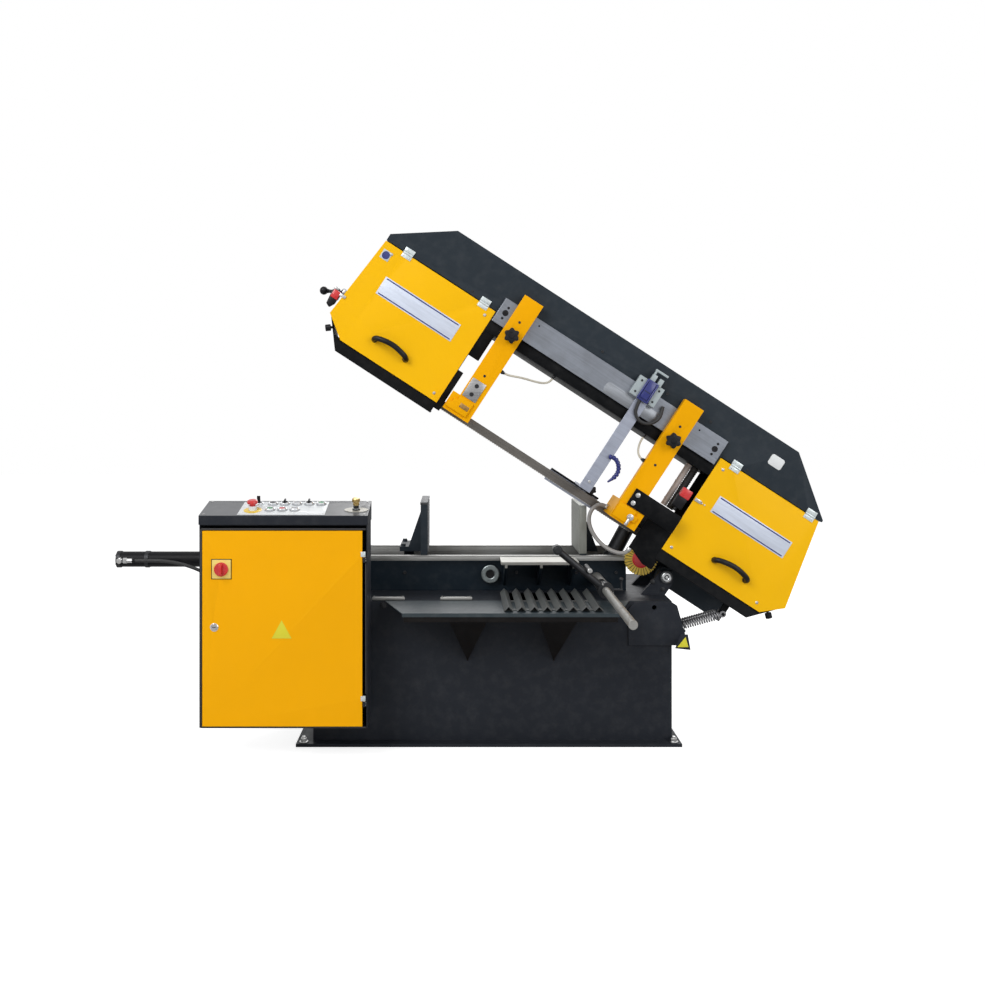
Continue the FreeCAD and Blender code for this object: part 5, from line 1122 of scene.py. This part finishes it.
def tufts(count, shift, y, near, far, r, r_end):
    """Bristles on both sides of the chip brush, from the near to the far radius."""
    for sign in (-1, 1):
        for i in range(count):
            angle = math.tau * (i + shift) / count
            x, z = math.cos(angle), math.sin(angle)
            rod((BRUSH_X + near * x, sign * y, BRUSH_Z + near * z), (BRUSH_X + far * x, sign * y, BRUSH_Z + far * z),
                r, r_end, sides=6)


class SAW_OT_drive(bpy.types.Operator):
    """The brush's bristles, the motor's fins and fan cover, the tension lever and the wheels' bolts"""
    bl_idname = "saw.drive"
    bl_label = "Drive"

    def execute(self, context):
        reach = sizes().bristle * 1000
        bm = work()
        centre = Vector((BRUSH_X, 0, BRUSH_Z))
        made = bmesh.ops.create_circle(bm, cap_ends=True, segments=144, radius=62,
                                       matrix=Matrix.Translation(centre + Vector((0, 11, 0)))
                                       @ Matrix.Rotation(math.pi / 2, 4, "X"))["verts"]
        for index, v in enumerate(made):
            v.co = centre + (v.co - centre) * (1.0 + (reach / 62 if index % 4 < 2 else 0.0))
            v.co.y = 11
        grown = bmesh.ops.extrude_face_region(bm, geom=list(bm.faces))["geom"]
        bmesh.ops.translate(bm, vec=(0, -22, 0), verts=vertices(grown))
        bmesh.ops.recalc_face_normals(bm, faces=bm.faces)
        tufts(48, 0.0, 10.6, 36, 63, 1.1, 1.7)
        on_bow("brush_bristles", "brush_wire", "brush", "brush_wire", ("chip_brush",), angle=40)
        tufts(28, 0.5, 11.4, 37, 64, 1.0, 1.5)
        on_bow("brush_dark_tufts", "brush_dark", "brush", "brush_wire")
        for sign in (-1, 1):
            turned((BRUSH_X, sign * 10.5, BRUSH_Z), (0, sign, 0),
                   [(6.1, 0), (36, 0), (36, 1.5), (31, 3.4), (16, 3.9), (14, 4.4), (6.1, 4.4)], steps=48)
            for i in range(6):
                angle = math.tau * i / 6
                bolt((BRUSH_X + 25 * math.cos(angle), sign * 13.4, BRUSH_Z + 25 * math.sin(angle)), (0, sign, 0), 2.4, 0.9,
                     washer=False)
        on_bow("brush_flanges", "red_moulded", "brush", "brush_wire")
        turned((BRUSH_X, -17.4, BRUSH_Z), FRONT, [(0, 0), (9, 0), (9, 3), (6, 5), (0, 5)], steps=28)
        on_bow("brush_axle_nut", "bolt_zinc", "bow", "machined_steel")
        fin = sizes().fin * 1000
        for i in range(30):
            angle = math.tau * i / 30
            if 0.9 < angle < 2.2:
                continue
            x, z = math.cos(angle), math.sin(angle)
            rod((MOTOR_X + 79 * x, 162, WHEEL_Z + 79 * z), (MOTOR_X + 79 * x, 330, WHEEL_Z + 79 * z), fin * 0.8, sides=4)
        turned((MOTOR_X, 332, WHEEL_Z), BACK, [(78, 0), (83, 1), (83, 36), (79, 44), (30, 46), (78, 42)], steps=48)
        on_bow("motor_fins", "bow_slate", "bow", "dark_paint")
        for x in (90, 282):
            for z in (192, 384):
                bolt((x, 148, z), BACK, 8.0)
        for x, z in ((80, 200), (80, 376), (292, 200), (292, 376)):
            cap_screw((x, 30, z), FRONT, 5.0, 3.0)
        on_bow("gearbox_bolts", "bolt_zinc", "bow", "machined_steel")
        turned((-1702, 55, 250), RIGHT, [(0, 0), (13, 0), (16, 3), (16, 13), (13, 16), (0, 16)], steps=36)
        start, end = Vector((-1694, 55, 250)), Vector((-1764, 52, 214))
        rod(start, end, 8.5, 6.5, sides=24)
        on_bow("tension_lever_arm", "black_oxide", "tension", "chrome_rod", ("tension_lever",))
        bm = work()
        made = bmesh.ops.create_icosphere(bm, subdivisions=4, radius=17, matrix=Matrix.Translation(end))["verts"]
        bmesh.ops.smooth_vert(bm, verts=made, factor=0.2, use_axis_x=True, use_axis_y=True, use_axis_z=True)
        rod(end + (start - end).normalized() * 13, end + (start - end).normalized() * 21, 9.5, 8.0, sides=28)
        on_bow("tension_lever_ball", "black_moulded", "tension", "black_plastic", angle=60)
        return {"FINISHED"}


class SAW_OT_stage(bpy.types.Operator):
    """Pale floor, soft lamps and a white surround"""
    bl_idname = "saw.stage"
    bl_label = "Stage"

    def execute(self, context):
        scene = context.scene
        scene.view_settings.view_transform = "Standard"
        material = bpy.data.materials.new("studio_floor")
        material.use_nodes = True
        tree = material.node_tree
        shader = tree.nodes["Principled BSDF"]
        shader.inputs["Base Color"].default_value = (*colours().floor, 1.0)
        shader.inputs["Roughness"].default_value = 0.9
        shader.inputs["Specular IOR Level"].default_value = 0.1
        path = tree.nodes.new("ShaderNodeLightPath")
        glow = add_node(tree, "Emission", Color=(1.0, 1.0, 1.0, 1.0))
        feed(tree, maths(tree, "MULTIPLY", path.outputs["Is Camera Ray"], FLOOR_GLOW), glow.inputs["Strength"])
        both = tree.nodes.new("ShaderNodeAddShader")
        tree.links.new(shader.outputs[0], both.inputs[0])
        tree.links.new(glow.outputs[0], both.inputs[1])
        tree.links.new(both.outputs[0], tree.nodes["Material Output"].inputs[0])
        bm = bmesh.new()
        bmesh.ops.create_grid(bm, x_segments=1, y_segments=1, size=14.0)
        mesh = bpy.data.meshes.new("floor")
        bm.to_mesh(mesh)
        bm.free()
        mesh.materials.append(material)
        floor = add_object("floor", mesh)
        for name, place, aim, size, power in (
                ("key", (-3.2, -4.4, 4.6), (0.0, 0.0, 0.8), 3.4, 205.0),
                ("fill", (3.8, -4.2, 2.6), (0.0, 0.0, 0.9), 3.0, 88.0),
                ("back", (0.6, 4.2, 4.2), (0.0, 0.0, 1.0), 3.6, 120.0)):
            data = bpy.data.lights.new(name, "AREA")
            data.shape = "SQUARE"
            data.size = size
            data.energy = power
            lamp = add_object(name, data)
            lamp.location = place
            lamp.rotation_euler = (Vector(aim) - Vector(place)).to_track_quat("-Z", "Y").to_euler()
        world = bpy.data.worlds.new("surround")
        world.use_nodes = True
        scene.world = world
        tree = world.node_tree
        path = tree.nodes.new("ShaderNodeLightPath")
        seen = maths(tree, "MAXIMUM", path.outputs["Is Camera Ray"], path.outputs["Is Transmission Ray"])
        glossy = maths(tree, "MULTIPLY", path.outputs["Is Glossy Ray"], MIRRORED_LIGHT)
        shine = maths(tree, "MAXIMUM", seen, glossy)
        ground = tree.nodes["Background"]
        ground.inputs["Color"].default_value = (1.0, 1.0, 1.0, 1.0)
        tree.links.new(remap(tree, shine, 0.0, 1.0, SURROUND_LIGHT, 1.0), ground.inputs["Strength"])
        return {"FINISHED"}


STEPS = ("view", "hoses", "sheet_metal", "covers", "beam", "guides", "blade", "feeler", "base", "vise", "console",
         "cabinet", "stop", "springs", "drive", "stage")


class SAW_PT_panel(bpy.types.Panel):
    """Lists the saw's settings and the steps that make it"""
    bl_idname = "SAW_PT_panel"
    bl_label = "Band saw"
    bl_space_type = "VIEW_3D"
    bl_region_type = "UI"
    bl_category = "Band saw"

    def draw(self, context):
        for group in (context.scene.saw_colours, context.scene.saw_sizes):
            box = self.layout.box()
            for name in group.__annotations__:
                box.prop(group, name)
        for step in STEPS:
            self.layout.operator("saw." + step)


CLASSES = (SawColours, SawSizes, SAW_OT_view, SAW_OT_hoses, SAW_OT_sheet_metal, SAW_OT_covers, SAW_OT_beam,
           SAW_OT_guides, SAW_OT_blade, SAW_OT_feeler, SAW_OT_base, SAW_OT_vise, SAW_OT_console, SAW_OT_cabinet,
           SAW_OT_stop, SAW_OT_springs, SAW_OT_drive, SAW_OT_stage, SAW_PT_panel)


def register():
    for cls in CLASSES:
        bpy.utils.register_class(cls)
    bpy.types.Scene.saw_colours = bpy.props.PointerProperty(type=SawColours)
    bpy.types.Scene.saw_sizes = bpy.props.PointerProperty(type=SawSizes)


def unregister():
    del bpy.types.Scene.saw_colours
    del bpy.types.Scene.saw_sizes
    for cls in reversed(CLASSES):
        bpy.utils.unregister_class(cls)


def main():
    register()
    make_finishes()
    for step in STEPS:
        getattr(bpy.ops.saw, step)()


if __name__ == "__main__":
    main()
